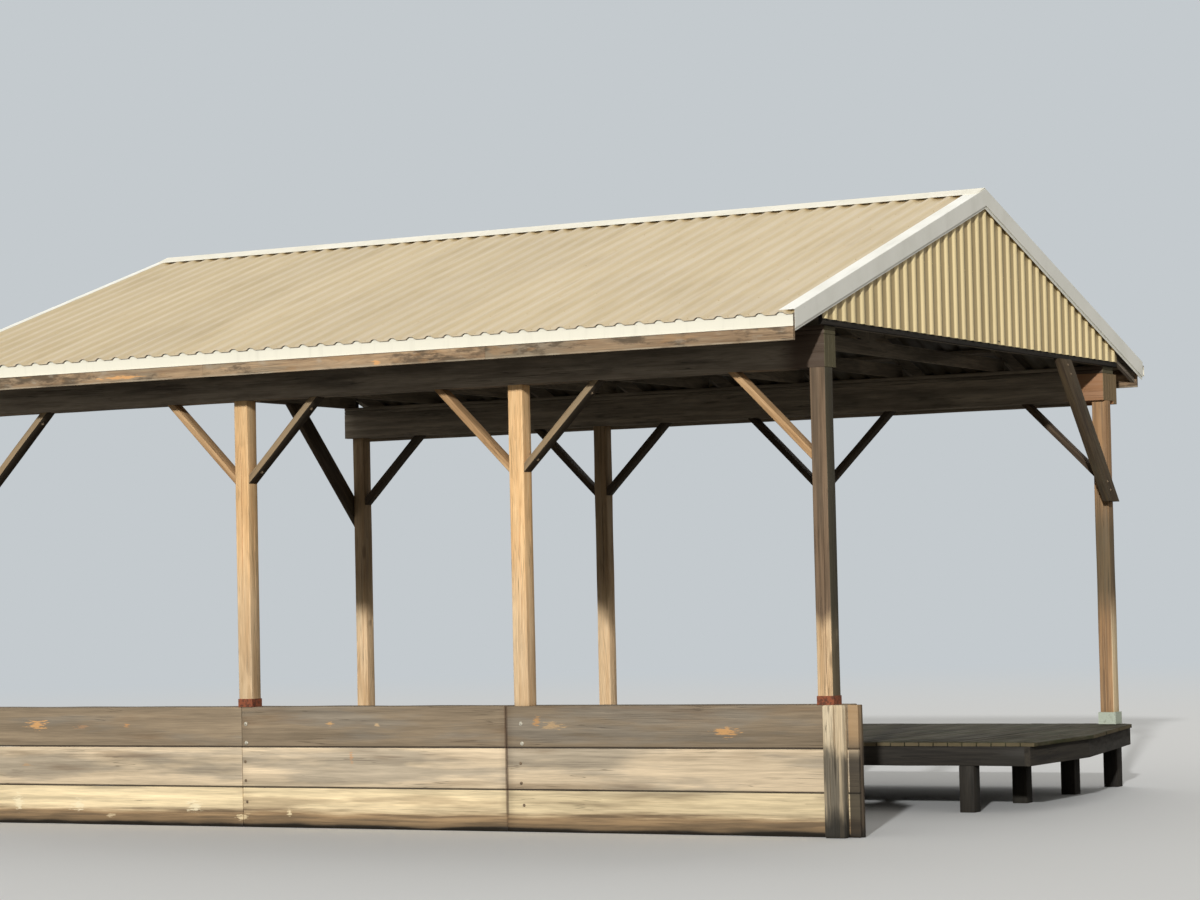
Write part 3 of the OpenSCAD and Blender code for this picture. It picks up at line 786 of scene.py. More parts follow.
def close_tree(tree, geometry, material):
    """Ends a tree: its instances are made real and get the material."""
    real = put(tree, "GeometryNodeRealizeInstances", {0: geometry})
    dressed = put(tree, "GeometryNodeSetMaterial",
                  {"Geometry": real.outputs[0], "Material": material})
    put(tree, "NodeGroupOutput", {"Geometry": dressed.outputs[0]})
    return tree


def repeat_tree():
    """A node tree that sets an item on every point, faces it, turns it and makes it real."""
    tree, inlet = node_group("Set an item on points", (
        ("Points", "Geometry"), ("Item", "Object"), ("Most Turn", "Float"),
        ("Size Spread", "Float"), ("Seed", "Int"), ("Material", "Material")))
    if inlet is None:
        return tree
    item = put(tree, "GeometryNodeObjectInfo", {"Object": inlet["Item"]})
    facing = put(tree, "GeometryNodeInputNamedAttribute", {"Name": "facing"},
                 data_type="FLOAT_VECTOR").outputs["Attribute"]
    size = put(tree, "GeometryNodeInputNamedAttribute", {"Name": "size"},
               data_type="FLOAT").outputs["Attribute"]
    aim = put(tree, "FunctionNodeAlignRotationToVector", {"Vector": facing}, axis="Z")
    turn = by_chance(tree, minus(tree, 0.0, inlet["Most Turn"]), inlet["Most Turn"],
                     inlet["Seed"])
    spin = put(tree, "FunctionNodeAxisAngleToRotation", {"Axis": (0, 0, 1), "Angle": turn})
    both = put(tree, "FunctionNodeRotateRotation",
               {0: aim.outputs[0], 1: spin.outputs[0]}, rotation_space="LOCAL")
    most = put(tree, "ShaderNodeMath", {0: 1.0, 1: inlet["Size Spread"]}, operation="ADD")
    spread = by_chance(tree, minus(tree, 1.0, inlet["Size Spread"]), most.outputs[0],
                       inlet["Seed"])
    scale = put(tree, "ShaderNodeMath", {0: size, 1: spread}, operation="MULTIPLY")
    placed = put(tree, "GeometryNodeInstanceOnPoints", {
        "Points": inlet["Points"], "Instance": item.outputs["Geometry"],
        "Rotation": both.outputs[0], "Scale": scale.outputs[0]})
    return close_tree(tree, placed.outputs[0], inlet["Material"])


def row_tree():
    """A node tree that lays boards in a row, each moved and toned a little by chance."""
    tree, inlet = node_group("Lay a row of boards", (
        ("Geometry", "Geometry"), ("Board", "Object"), ("Count", "Int"), ("First", "Vector"),
        ("Step", "Vector"), ("Slack", "Vector"), ("Seed", "Int"), ("Material", "Material")))
    if inlet is None:
        return tree
    board = put(tree, "GeometryNodeObjectInfo", {"Object": inlet["Board"]})
    line = put(tree, "GeometryNodeMeshLine", {
        "Count": inlet["Count"], "Start Location": inlet["First"], "Offset": inlet["Step"]})
    back = put(tree, "ShaderNodeVectorMath", {0: inlet["Slack"], 1: (-1, -1, -1)},
               operation="MULTIPLY")
    slack = by_chance(tree, back.outputs[0], inlet["Slack"], inlet["Seed"], "FLOAT_VECTOR")
    moved = put(tree, "GeometryNodeSetPosition", {"Geometry": line.outputs[0], "Offset": slack})
    placed = put(tree, "GeometryNodeInstanceOnPoints", {
        "Points": moved.outputs[0], "Instance": board.outputs["Geometry"]})
    toned = put(tree, "GeometryNodeStoreNamedAttribute", {
        "Geometry": placed.outputs[0], "Name": "tone",
        "Value": by_chance(tree, 0.0, 1.0, inlet["Seed"])}, data_type="FLOAT", domain="INSTANCE")
    return close_tree(tree, toned.outputs[0], inlet["Material"])


def grown(name, tree, values, source=None):
    """The mesh that a node tree makes from a source mesh, as an object with no modifier left."""
    mesh = source or bpy.data.meshes.new(name + "_source")
    holder = linked(name + "_source", mesh)
    modifier = holder.modifiers.new("Repeat", "NODES")
    modifier.node_group = tree
    ports = {port.name: port.identifier for port in tree.interface.items_tree
             if port.in_out == "INPUT"}
    for label, value in values.items():
        modifier[ports[label]] = value
    bpy.context.view_layer.update()
    graph = bpy.context.evaluated_depsgraph_get()
    result = bpy.data.meshes.new_from_object(holder.evaluated_get(graph),
                                             preserve_all_data_layers=True, depsgraph=graph)
    result.name = name
    bpy.data.objects.remove(holder)
    return linked(name, result)


def repeat(name, item, places, finish):
    """Sets item on places, each a point, the way it faces and its size, and finishes the piece.
    Every item is turned by chance and is up to 4 % larger or smaller."""
    points, facing, size = zip(*places)
    mesh = bpy.data.meshes.new(name + "_points")
    mesh.from_pydata([tuple(p) for p in points], [], [])
    give(mesh, "facing", "POINT", [tuple(f) for f in facing], "FLOAT_VECTOR")
    give(mesh, "size", "POINT", size)
    values = {"Item": item, "Most Turn": math.pi, "Size Spread": 0.04, "Seed": 3,
              "Material": finishes[finish]}
    return finished(grown(name, repeat_tree(), values, mesh))


def hex_bolt(radius):
    """A bolt head on a round washer, on the plane Z = 0, for a washer of that radius."""
    solid = Solid()
    t = radius * 0.14
    solid.turned([(0, -t), (radius * 0.96, -t), (radius, -t * 0.4), (radius, t * 0.7),
                  (radius * 0.93, t), (0, t)], 18)
    h, r = radius * 0.62, radius * 0.56
    solid.turned([(0, t * 0.5), (r, t * 0.5), (r, h * 0.85), (r * 0.84, h), (0, h)], 6)
    return solid


def sheet_screw(radius):
    """A hex washer head screw with its rubber washer, on the plane Z = 0."""
    solid = Solid()
    solid.turned([(0, -0.001), (radius, -0.001), (radius, 0.0012), (radius * 0.8, 0.0026),
                  (0, 0.0028)], 10)
    r = radius * 0.5
    solid.turned([(0, 0.002), (r, 0.002), (r, 0.0062), (r * 0.8, 0.0072), (0, 0.0072)], 6)
    return solid


# Materials by name, made once by the operator for finishes

finishes = {}

# Bare patches of the bulkhead: place along X, height, half width, half height, tone and share
BULKHEAD_SCARS = [
    (-4.15, 0.972, 0.130, 0.050, (224, 168, 104), 0.9),
    (-3.59, 0.952, 0.100, 0.020, (184, 140, 100), 0.6),
    (-3.05, 0.972, 0.037, 0.018, (206, 148, 90), 0.8),
    (-0.68, 0.980, 0.045, 0.021, (220, 170, 108), 0.8),
    (-0.15, 0.971, 0.034, 0.016, (222, 186, 138), 0.8),
    (-4.28, 0.576, 0.100, 0.020, (200, 158, 112), 0.6),
    (-0.44, 0.672, 0.021, 0.056, (204, 152, 104), 0.8),
    (1.57, 1.006, 0.043, 0.045, (204, 150, 88), 0.85),
    (1.75, 0.961, 0.120, 0.034, (210, 172, 122), 0.7),
    (3.50, 0.908, 0.130, 0.044, (224, 168, 104), 0.9),
    (-3.66, 0.190, 0.085, 0.056, (250, 236, 198), 0.9),
    (-2.25, 0.190, 0.085, 0.060, (250, 236, 198), 0.9),
    (-3.27, 0.085, 0.060, 0.026, (228, 206, 166), 0.8),
    (-1.69, 0.095, 0.080, 0.038, (244, 222, 176), 0.9),
    (-1.15, 0.147, 0.038, 0.044, (244, 224, 180), 0.9),
    (-4.40, 0.210, 0.060, 0.080, (250, 236, 198), 0.8),
]

# Bare strips of the fascia: place along X, height, half width and half height
FASCIA_SCARS = [(-2.44, 4.296, 0.26, 0.017), (0.45, 4.284, 0.05, 0.026)]


def bulkhead_wood(top, middle, low, courses, stain, corner):
    """Bulkhead planks: a tone for each course with long soft streaks, a pale band low down, a
    damp brown foot, black at the water, and bare orange and cream scars. courses are the heights
    of the joints between the courses, stain is the place along X of a joint with a stain beside
    it, and past corner, beside the corner pile, the planks are tan above and dark below."""
    f = Finish("Bulkhead timber", roughness=0.86)
    tone, grain = board_grain(f)
    x, z = f.axis(X), f.axis(Z)
    level = f.height((1.1, 1.1, 4), 5, 0.09)
    f.shade = rgba(low)
    for height, above in zip(courses, (middle, top)):
        f.tint(f.step(z, height - 0.004, height + 0.004), rgba(above))
    f.tint(f.times(f.band(level, 0.17, 0.24, 0.33, 0.42), 0.55), linear(248, 226, 180))
    # Blue-grey patches in the upper courses: painted tree shade, and weathering
    blue = f.step(f.noise(grain, (0.42, 3.2, 3.2), 5, 0.58), 0.5, 0.62, 0.0, 0.5)
    f.tint(f.times(blue, f.step(z, 0.30, 0.42)), linear(142, 136, 124))
    brown = f.noise(grain, (0.5, 4.5, 4.5), 4, 0.6, (5, 2, 8))
    f.stain(brown, 0.52, 0.68, 0.5, 128, 102, 74)
    f.light(f.noise(grain, (0.22, 8, 8), 3, 0.5, (1, 6, 3)), 0.35, 0.65, 0.84, 1.1)
    streak = f.noise(grain, (0.9, 22, 22), 5, 0.62)
    f.light(streak, 0.3, 0.7, 0.80, 1.10)
    fine = f.noise(grain, (4, 120, 120), 3)
    f.light(fine, 0.25, 0.75, 0.86, 1.07)
    gap = cracks(f, grain, (0.6, 26, 26), 0.012, (1.0, 4, 4), 0.5, 0.62)
    f.tint(f.times(gap, 0.5), linear(66, 54, 42))
    for height in courses:
        f.stain(f.away(z, height), 0.011, 0.006, 0.88, 44, 35, 26)
    joint = f.away(x, stain)
    f.stain(joint, 0.10, 0.0, 0.22, 84, 64, 44)
    f.stain(joint, 0.022, 0.012, 0.6, 84, 60, 40)
    damp = f.mix(f.step(streak, 0.35, 0.6), linear(104, 82, 58), linear(160, 128, 90))
    f.tint(f.step(f.moved(level, streak, 0.16), 0.20, 0.12, 0.0, 0.9), damp)
    f.stain(level, 0.11, 0.04, 0.5, 62, 52, 38)
    f.stain(level, 0.05, 0.02, 0.94, 24, 22, 17)
    torn = f.noise(f.place, (11, 11, 75), 5, 0.6)
    for at, height, wide, tall, bare, share in BULKHEAD_SCARS:
        off = f.patch(at, height, wide, tall, torn, 4.4, 0.46)
        f.stain(off, 1.1, 0.6, share * 0.85, *bare)
    beside = f.step(x, corner, corner + 0.01)
    f.tint(f.times(beside, f.step(level, 0.86, 0.66, 0.0, 0.92)), linear(46, 39, 29))
    f.tint(f.times(beside, f.step(level, 0.72, 0.9, 0.0, 0.6)), linear(188, 152, 108))
    f.light(tone, 0.0, 1.0, 0.94, 1.04)
    relief = f.math("SUBTRACT", f.times(f.plus(fine, streak), 0.4), gap)
    return f.done(relief, 0.0016, rough=f.step(level, 0.04, 0.02, 0.86, 0.4))


def upright_streaks(f, dark, light):
    """Two tones in upright streaks."""
    streak = f.noise(f.place, (38, 38, 1.1), 4)
    return f.mix(f.step(streak, 0.35, 0.65), dark, light)


def painted_shade_above(dark, light, height, share, softness=0.12, side=None):
    """Post timber with painted shade above a height, in upright streaks of two tones: a tree's
    shade on the near corner post, the roof's shadow on the far posts. side is the screen colour of
    painted shade on its +X face, tinted green with age."""
    def later(f):
        z = f.height((7, 7, 1.6), 4, 0.5)
        # Painted shade above the height
        f.tint(f.step(z, height - softness, height + softness, 0.0, share),
               upright_streaks(f, dark, light))
        if side:
            # Painted shade on the +X face, tinted green
            f.stain(f.across(), POST_HALF - 0.010, POST_HALF - 0.003, 0.85, *side)
    return later


def painted_warm_light(f):
    """Post timber with a painted warm light that grows towards its head, darker towards its foot.
    """
    z = f.height((6, 6, 1.2), 3, 0.6)
    # Painted warm light towards the head
    f.tint(f.step(z, 1.7, 2.9), f.mix(1.0, f.shade, linear(255, 246, 230), "MULTIPLY"))
    f.light(z, 1.2, 2.8, 0.86, 1.18)


def painted_shade_below(f):
    """Brace timber with painted shade on its lower edge, and a grey painted shade where its tone is
    low.
    """
    # Painted shade: grey on the braces given a low tone
    f.stain(f.attribute("tone"), 0.3, 0.2, 0.6, 150, 134, 106)
    # Painted shade on the lower edge
    f.stain(f.across(), -BRACE_HALF + 0.004, -BRACE_HALF + 0.001, 0.88, 50, 43, 33)


def open_corner(f):
    """The far post at the open corner: tan at its head, grey green half way, and below that
    brown in front with painted sunlight on its +X face."""
    z = f.height((5, 5, 1.2), 4, 0.5)
    f.tint(0.8, upright_streaks(f, linear(120, 88, 58), linear(168, 126, 84)))
    f.tint(f.times(f.band(z, 1.6, 2.2, 2.6, 3.2), 0.75), linear(84, 78, 58))
    # Painted sunlight on the +X face, below the roof's shadow
    side = f.step(f.across(), POST_HALF - 0.010, POST_HALF - 0.003)
    f.tint(f.times(side, f.step(z, 2.1, 1.5, 0.0, 0.75)), linear(236, 214, 172))


def wet_foot(f):
    """A pile in front of the bulkhead: cream at its head, dark and weathered below with pale
    streaks that run on down, black at the water."""
    z = f.height((9, 9, 3), 4, 0.36)
    streak = f.noise(f.place, (34, 34, 0.8), 4)
    weathered = f.times(f.step(z, 0.80, 0.66), f.step(streak, 0.66, 0.5, 0.35, 1.0))
    f.tint(f.times(weathered, 0.9), linear(88, 82, 70))
    f.stain(z, 0.3, 0.08, 0.92, 34, 31, 24)


def dark_end(f):
    """End boards of the bulkhead: tan at the top, dark and damp lower down."""
    z = f.height((8, 8, 2), 3, 0.3)
    f.stain(z, 0.86, 0.66, 0.85, 66, 55, 42)
    f.stain(z, 0.16, 0.06, 0.9, 32, 29, 22)


def worn_edge(f):
    """Fascia with stains, a bleached lower edge, lichen above, and bare orange strips."""
    across = f.across()
    f.stain(f.noise(f.place, (2.6, 1, 9), 5, 0.65), 0.48, 0.62, 0.75, 74, 62, 47)
    warm = f.noise(f.place, (3.4, 1, 14), 5, 0.6, (4, 2, 1))
    f.stain(warm, 0.56, 0.68, 0.4, 178, 138, 94)
    chalk = f.noise(f.place, (4.5, 1, 11), 4, 0.5, (9, 5, 2))
    f.stain(chalk, 0.58, 0.7, 0.5, 180, 168, 148)
    edge = f.times(f.step(across, -FASCIA_HALF + 0.018, -FASCIA_HALF + 0.010),
                   f.step(chalk, 0.35, 0.6, 0.2, 0.6))
    f.tint(edge, linear(200, 186, 160))
    lichen = f.times(f.step(across, 0.03, 0.08), f.step(warm, 0.5, 0.4, 0.0, 0.5))
    f.tint(lichen, linear(136, 118, 62))
    torn = f.noise(f.place, (9, 1, 60), 5, 0.6)
    for at, height, wide, tall in FASCIA_SCARS:
        f.stain(f.patch(at, height, wide, tall, torn, 3.4, 0.48), 1.1, 0.7, 0.85, 236, 176, 112)


def painted_end_light_and_shade(place, tone, share, cut):
    """Beam timber with another tone painted over its last half metre, at a place along X: painted
    shade on the near beam's end, painted sunlight on the far beam's end. cut is the tone of the
    sawn end, and both tones are screen colours."""
    def later(f):
        x = f.axis(X)
        # Painted shade on the near beam's end, painted sunlight on the far beam's end
        f.stain(x, place - 0.5, place - 0.25, share, *tone)
        f.stain(x, place - 0.006, place - 0.004, 0.8, *cut)
    return later


def mossy(f):
    """Deck boards with moss in the grain, damp patches, and bleached ends."""
    f.stain(f.noise(f.place, 2.2, 6, 0.65), 0.48, 0.64, 0.6, 60, 64, 38)
    f.stain(f.noise(f.place, 0.8, 3), 0.5, 0.7, 0.45, 46, 42, 33)
    f.stain(f.noise(f.place, 3.0, 4), 0.66, 0.74, 0.35, 138, 130, 108)
    f.shader.inputs["Specular IOR Level"].default_value = 0.15
    f.tint(f.times(f.attribute("end"), 0.7), linear(112, 100, 76))


def rib_places(node, axis):
    """Middle lines of the ribs of a packed sheet along one axis, from its section's corners."""
    lo = low(node)
    points = [v.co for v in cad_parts[node].data.vertices]
    if axis == Y:
        points = [p for p in points if p.z < lo.z + 1e-3]
    places = []
    for value in sorted(p[axis] for p in points):
        if not places or value > places[-1] + 1e-3:
            places.append(value)
    inner = places[1:-1]
    return [sum(inner[i:i + 4]) / 4 for i in range(0, len(inner), 4)]


class BoathouseOperator(bpy.types.Operator):
    """Shared ways of the operators that make the boathouse."""
    bl_idname = "boathouse.base"
    bl_label = "Boathouse"
    bl_options = {"REGISTER", "UNDO"}

    def sizes(self):
        return bpy.context.scene.boathouse_sizes

    def lumber(self):
        return Lumber(self.sizes().arris, self.sizes().wander)

    def boards(self, node, name, finish, slot, along, wide, seed, **more):
        """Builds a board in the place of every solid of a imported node."""
        lumber = self.lumber()
        for i, (lo, hi) in enumerate(boxes_of(node)):
            lumber.board(lo, hi, along, wide, seed + i, **more)
        lumber.build(name, finishes[finish], slot, [node])


class BOATHOUSE_OT_finishes(BoathouseOperator):
    """Make the materials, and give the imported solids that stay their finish"""
    bl_idname = "boathouse.finishes"
    bl_label = "Finishes"

    def execute(self, context):
        c = context.scene.boathouse_colours
        finishes.update(self.timbers(c), **self.metals(c))
        stay = {
            "frame_x": ["ridge_board", "near_purlins", "far_purlins"],
            "frame_y": ["tie_beams", "near_rafters", "far_rafters", "web_struts", "barge_boards"],
            "frame_z": ["king_posts"],
            "trim": ["near_eave_trim", "far_eave_trim", "ridge_cap"],
            "rake": ["right_rake_trim", "left_rake_trim"],
            "block": ["far_post_bases"],
            "rust": ["near_post_bands"],
            "rim": ["deck_rim"],
        }
        for finish, nodes in stay.items():
            for name in nodes:
                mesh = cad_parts[name].data
                mesh.materials.clear()
                mesh.materials.append(finishes[finish])
        return {"FINISHED"}

    def timbers(self, c):
        """The timbers. The numbers are greyness, knots, checks and lines, as wood takes them."""
        def tones(*pair):
            return [linear(*tone) for tone in pair]

        post, roof = (c.post_light, c.post_dark), (c.frame_light, c.frame_dark)
        roof_grey = (98, 90, 78)
        planks = boxes_of("bulkhead_planks")
        levels = sorted({round(lo.z, 3) for lo, _ in planks})
        joint = min(lo.x for lo, _ in planks if lo.x > 0)
        made = {
            "post": wood("Post timber", post, (216, 194, 158), 0.2, 0.16, 0.7, 0.2, painted_warm_light),
            # Near corner post: painted tree shade above 1.85 m and painted shade on its +X face
            "tree_shade_post": wood("Post timber in painted tree shade", post, (200, 182, 152), 0.3, 0.2, 0.8,
                              later=painted_shade_above(linear(84, 68, 52), linear(122, 100, 78),
                                                   1.85, 0.92, side=(54, 54, 38))),
            # Far posts: the roof's shadow painted above 2.1 m
            "shaded_post": wood("Shaded post timber", post, (206, 188, 156), 0.25, 0.2, 0.7,
                                later=painted_shade_above(rgba(c.shade_dark), rgba(c.shade_light),
                                                     2.1, 0.6, 0.4)),
            "brown_post": wood("Brown post timber", post, (176, 158, 128), 0.3, 0.3, 0.7,
                               later=open_corner),
            "pile": wood("Corner pile timber", tones((246, 226, 190), (224, 200, 162)),
                         (196, 182, 152), 0.3, 0.2, 0.9, later=wet_foot),
            "end": wood("End board timber", tones((140, 114, 82), (92, 74, 52)),
                        (108, 94, 72), 0.4, 0.2, later=dark_end),
            "brace": wood("Brace timber", (c.brace_light, c.brace_dark), (206, 180, 142),
                          0.25, 0.15, lines=0.2, later=painted_shade_below),
            # Far knee braces and the left gable brace: dark as painted shade
            "shade_painted_brace": wood("Brace timber in painted shade", tones((96, 78, 56), (64, 50, 36)),
                               (82, 74, 58), 0.4, 0.2),
            "brown_brace": wood("Brown brace timber", tones((108, 90, 62), (72, 57, 40)),
                                (96, 88, 68), 0.4, 0.2),
            # Beam ends: painted shade on the near beam, painted sunlight on the far beam
            "beam": wood("Beam timber", roof, roof_grey, 0.4, 0.2, lines=0.2,
                         later=painted_end_light_and_shade(high("near_beam").x, (70, 50, 34), 0.85, (96, 90, 62))),
            "far_beam": wood("Far beam timber", roof, roof_grey, 0.3, 0.3, lines=0.2,
                             later=painted_end_light_and_shade(high("far_beam").x, (164, 112, 68), 0.8,
                                            (120, 106, 74))),
            "fascia": wood("Fascia timber", tones((192, 162, 126), (146, 119, 90)),
                           (160, 146, 122), 0.5, 0.3, lines=0.2, later=worn_edge),
            # Girts: near-black as painted shade under the gable sheets
            "girt": wood("Girt timber in painted shade", tones((54, 47, 37), (35, 30, 23)), (46, 42, 34)),
            "deck": wood("Deck timber", (c.deck_light, c.deck_dark), (94, 90, 72), 0.6, 0.2, 0.9,
                         later=mossy),
            # Deck frame and rim: near-black as painted shade under the deck
            "under": wood("Deck frame timber in painted shade", tones((48, 42, 32), (30, 26, 20)), (42, 39, 31),
                          0.5),
            "rim": wood("Deck rim timber in painted shade", tones((56, 49, 37), (35, 30, 23)), (50, 46, 36), 0.5,
                        along=(0, 0, 90)),
            "wall": bulkhead_wood(c.wall_top, c.wall_middle, c.wall_low, levels[1:3], joint,
                                  high("front_corner_piles").x),
        }
        for key, way, along in (("frame_x", "along the ridge", (0, 0, 0)),
                                ("frame_y", "across the slip", (0, 0, 90)),
                                ("frame_z", "upright", (0, 90, 0))):
            made[key] = wood(f"Roof timber {way}", roof, roof_grey, along=along)
        return made

    def metals(self, c):
        """The sheets, the trims and the small parts."""
        return {
            "block": steel("Painted block", linear(184, 192, 174), (140, 140, 120), 0.25, 0.85),
            "rust": steel("Rusty steel", c.rust, (96, 56, 38), 0.5, 0.8),
            "bright": steel("Bright washers", linear(208, 202, 184), (150, 138, 116), 0.3,
                            metallic=0.2),
            "old_bolt": steel("Old bolts", linear(132, 114, 90), (96, 80, 62), 0.4, 0.85),
            "painted": steel("Painted screws", c.roof, (150, 132, 104), 0.2),
            "gable_painted": steel("Painted gable screws", c.gable, (150, 128, 90), 0.2),
            # Foam strip: real dark foam, and painted shadow under the sheets' edge
            "foam": steel("Foam strip", linear(46, 42, 36), (34, 32, 28), 0.3, 0.95),
            # Undersides of the sheets: dark as painted shade under the roof
            "underside": folded("Underside of the sheets in painted shade", linear(84, 76, 64), 0.4),
            "trim": folded("White trim", c.trim, 0.16),
            "rake": folded("Rake trim", c.rake, 0.22),
            "roof": sheet("Roof sheet", c.roof, X, 0.14),
            # The gable sheet's pan of 0.6 paints shade on the flats between its ribs
            "gable": sheet("Gable sheet", c.gable, Y, 0.1, 0.6),
        }


class BOATHOUSE_OT_posts(BoathouseOperator):
    """Build the eight posts with their drying splits"""
    bl_idname = "boathouse.posts"
    bl_label = "Posts"

    def execute(self, context):
        s = self.sizes()
        size = (s.split_mouth, s.split_depth)
        small = (s.split_mouth * 0.6, s.split_depth * 0.7)
        rng = random.Random(11)
        kinds = {"near_post_1": "tree_shade_post", "far_post_1": "brown_post"}
        for row in ("near", "far"):
            for k in range(1, 5):
                name = f"{row}_post_{k}"
                splits = []
                for side in ("+v", "-v", "+w", "-w"):
                    a = rng.uniform(0.0, 0.45)
                    splits.append((side, rng.uniform(-0.5, 0.5), a, a + rng.uniform(0.3, 0.55),
                                   size if rng.random() < 0.5 else small))
                lumber = self.lumber()
                lumber.board(*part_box(name), Z, X, 40 + 7 * k + (row == "far"), splits=splits,
                             step=0.06, arris=0.007)
                finish = kinds.get(name, "shaded_post" if row == "far" else "post")
                lumber.build(f"{name}_timber", finishes[finish], "post_timber", [name])
        return {"FINISHED"}


class BOATHOUSE_OT_corner_piles(BoathouseOperator):
    """Build the piles in front of the bulkhead's corners, each with a deep wedge split"""
    bl_idname = "boathouse.corner_piles"
    bl_label = "Corner piles"

    def execute(self, context):
        splits = [("-w", 0.25, 0.42, 1.05, (0.022, 0.05)), ("-w", -0.4, 0.1, 0.6, (0.006, 0.02)),
                  ("+v", 0.1, 0.2, 0.8, (0.008, 0.02))]
        self.boards("front_corner_piles", "corner_pile_timbers", "pile", "post_timber", Z, X, 71,
                    splits=splits, step=0.04, arris=0.012)
        return {"FINISHED"}


class BOATHOUSE_OT_bulkhead(BoathouseOperator):
    """Build the bulkhead's planks, cap, wales, piles and end boards"""
    bl_idname = "boathouse.bulkhead"
    bl_label = "Bulkhead"

    def execute(self, context):
        lumber = self.lumber()
        rng = random.Random(5)
        planks = boxes_of("bulkhead_planks")
        tops = [0.0] + [hi.z for _, hi in planks]
        for i, (lo, hi) in enumerate(planks):
            lo.y += rng.uniform(0.0, 0.005)
            lo.z = max(top for top in tops if top <= lo.z)
            lumber.board(lo, hi, X, Z, 101 + i, step=0.12, arris=0.006, wander=0.0026)
        lumber.build("bulkhead_plank_boards", finishes["wall"], "bulkhead_timber",
                     ["bulkhead_planks"])
        for node, finish, along, wide, seed in (("bulkhead_cap", "wall", X, Y, 131),
                                                ("bulkhead_wales", "wall", X, Z, 141),
                                                ("near_piles", "wall", Z, X, 151),
                                                ("bulkhead_end_boards", "end", Z, Y, 161)):
            self.boards(node, f"{node}_timber", finish, "bulkhead_timber", along, wide, seed)
        return {"FINISHED"}


class BOATHOUSE_OT_beams(BoathouseOperator):
    """Build the main beams from their plies, with the flat plates on them"""
    bl_idname = "boathouse.beams"
    bl_label = "Beams and plates"

    def execute(self, context):
        for node, plies, seed in (("near_beam", 3, 201), ("far_beam", 4, 211),
                                  ("far_beam_outer_ply", 2, 221)):
            lumber = self.lumber()
            lo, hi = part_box(node)
            step = (hi.y - lo.y) / plies
            for i in range(plies):
                a = Vector((lo.x, lo.y + i * step, lo.z))
                b = Vector((hi.x, lo.y + (i + 1) * step - 0.003, hi.z))
                lumber.board(a, b, X, Z, seed + i, arris=0.004)
            finish = finishes["beam" if node == "near_beam" else "far_beam"]
            lumber.build(f"{node}_plies", finish, "frame_timber", [node])
        lumber = self.lumber()
        for i, (lo, hi) in enumerate(boxes_of("top_plates")):
            mid = (lo.z + hi.z) / 2
            lumber.board(lo, (hi.x, hi.y, mid - 0.001), X, Y, 231 + i)
            lumber.board((lo.x, lo.y, mid + 0.001), hi, X, Y, 241 + i)
        lumber.build("top_plate_boards", finishes["beam"], "frame_timber", ["top_plates"])
        return {"FINISHED"}


class BOATHOUSE_OT_braces(BoathouseOperator):
    """Build the knee braces and the wide braces across the gable ends"""
    bl_idname = "boathouse.braces"
    bl_label = "Braces"

    def execute(self, context):
        for node, finish, seed in (("near_knee_braces", "brace", 301),
                                   ("far_knee_braces", "shade_painted_brace", 321)):
            lumber = self.lumber()
            for i, points in enumerate(solids_of(node)):
                lo, hi, lean = knee(points)
                y = (lo.y + hi.y) / 2
                head = [p.x for p in points if abs(p.z - hi.z) < TOUCH]
                cut = max(head) - min(head)
                foot_x, head_x = (lo.x, hi.x) if lean > 0 else (hi.x, lo.x)
                # Braces that rise to +X get a low tone, which their finish turns into a grey
                # painted shade
                lumber.quad((foot_x, y, lo.z), (foot_x, y, lo.z + cut),
                            (head_x - lean * cut, y, hi.z), (head_x, y, hi.z),
                            hi.y - lo.y, seed + i, tone=0.15 if lean > 0 else 0.6 + 0.05 * i)
            lumber.build(f"{node}_timber", finishes[finish], "frame_timber", [node])
        for i, points in enumerate(solids_of("gable_braces")):
            lumber = self.lumber()
            lo, hi = box_of(points)
            face = [p for p in points if abs(p.x - lo.x) < TOUCH]
            middle = sum(face, Vector()) / len(face)
            face.sort(key=lambda p: math.atan2(p.z - middle.z, p.y - middle.y))
            along = (0, mean_y(face, lo.z) - mean_y(face, hi.z), lo.z - hi.z)
            lumber.prism(face, (hi.x - lo.x, 0, 0), along, 341 + i)
            side, finish = ("right", "brown_brace") if lo.x > 0 else ("left", "shade_painted_brace")
            lumber.build(f"{side}_gable_brace_timber", finishes[finish], "frame_timber",
                         ["gable_braces"])
        return {"FINISHED"}


class BOATHOUSE_OT_edges(BoathouseOperator):
    """Build the fascia boards and the girts behind the gable sheets"""
    bl_idname = "boathouse.edges"
    bl_label = "Fascias and girts"

    def execute(self, context):
        for node, seed in (("near_fascia", 401), ("far_fascia", 411)):
            lumber = self.lumber()
            lo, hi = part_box(node)
            joints = [lo.x, *(lo.x + joint for joint in FASCIA_JOINTS), hi.x]
            for i in range(3):
                a = Vector((joints[i] + 0.001, lo.y, lo.z))
                b = Vector((joints[i + 1] - 0.001, hi.y, hi.z))
                lumber.board(a, b, X, Z, seed + i, arris=0.003, wander=0.0016)
            lumber.build(f"{node}_boards", finishes["fascia"], "frame_timber", [node])
        self.boards("gable_girts", "gable_girt_boards", "girt", "frame_timber", Y, Z, 421,
                    arris=0.003)
        return {"FINISHED"}


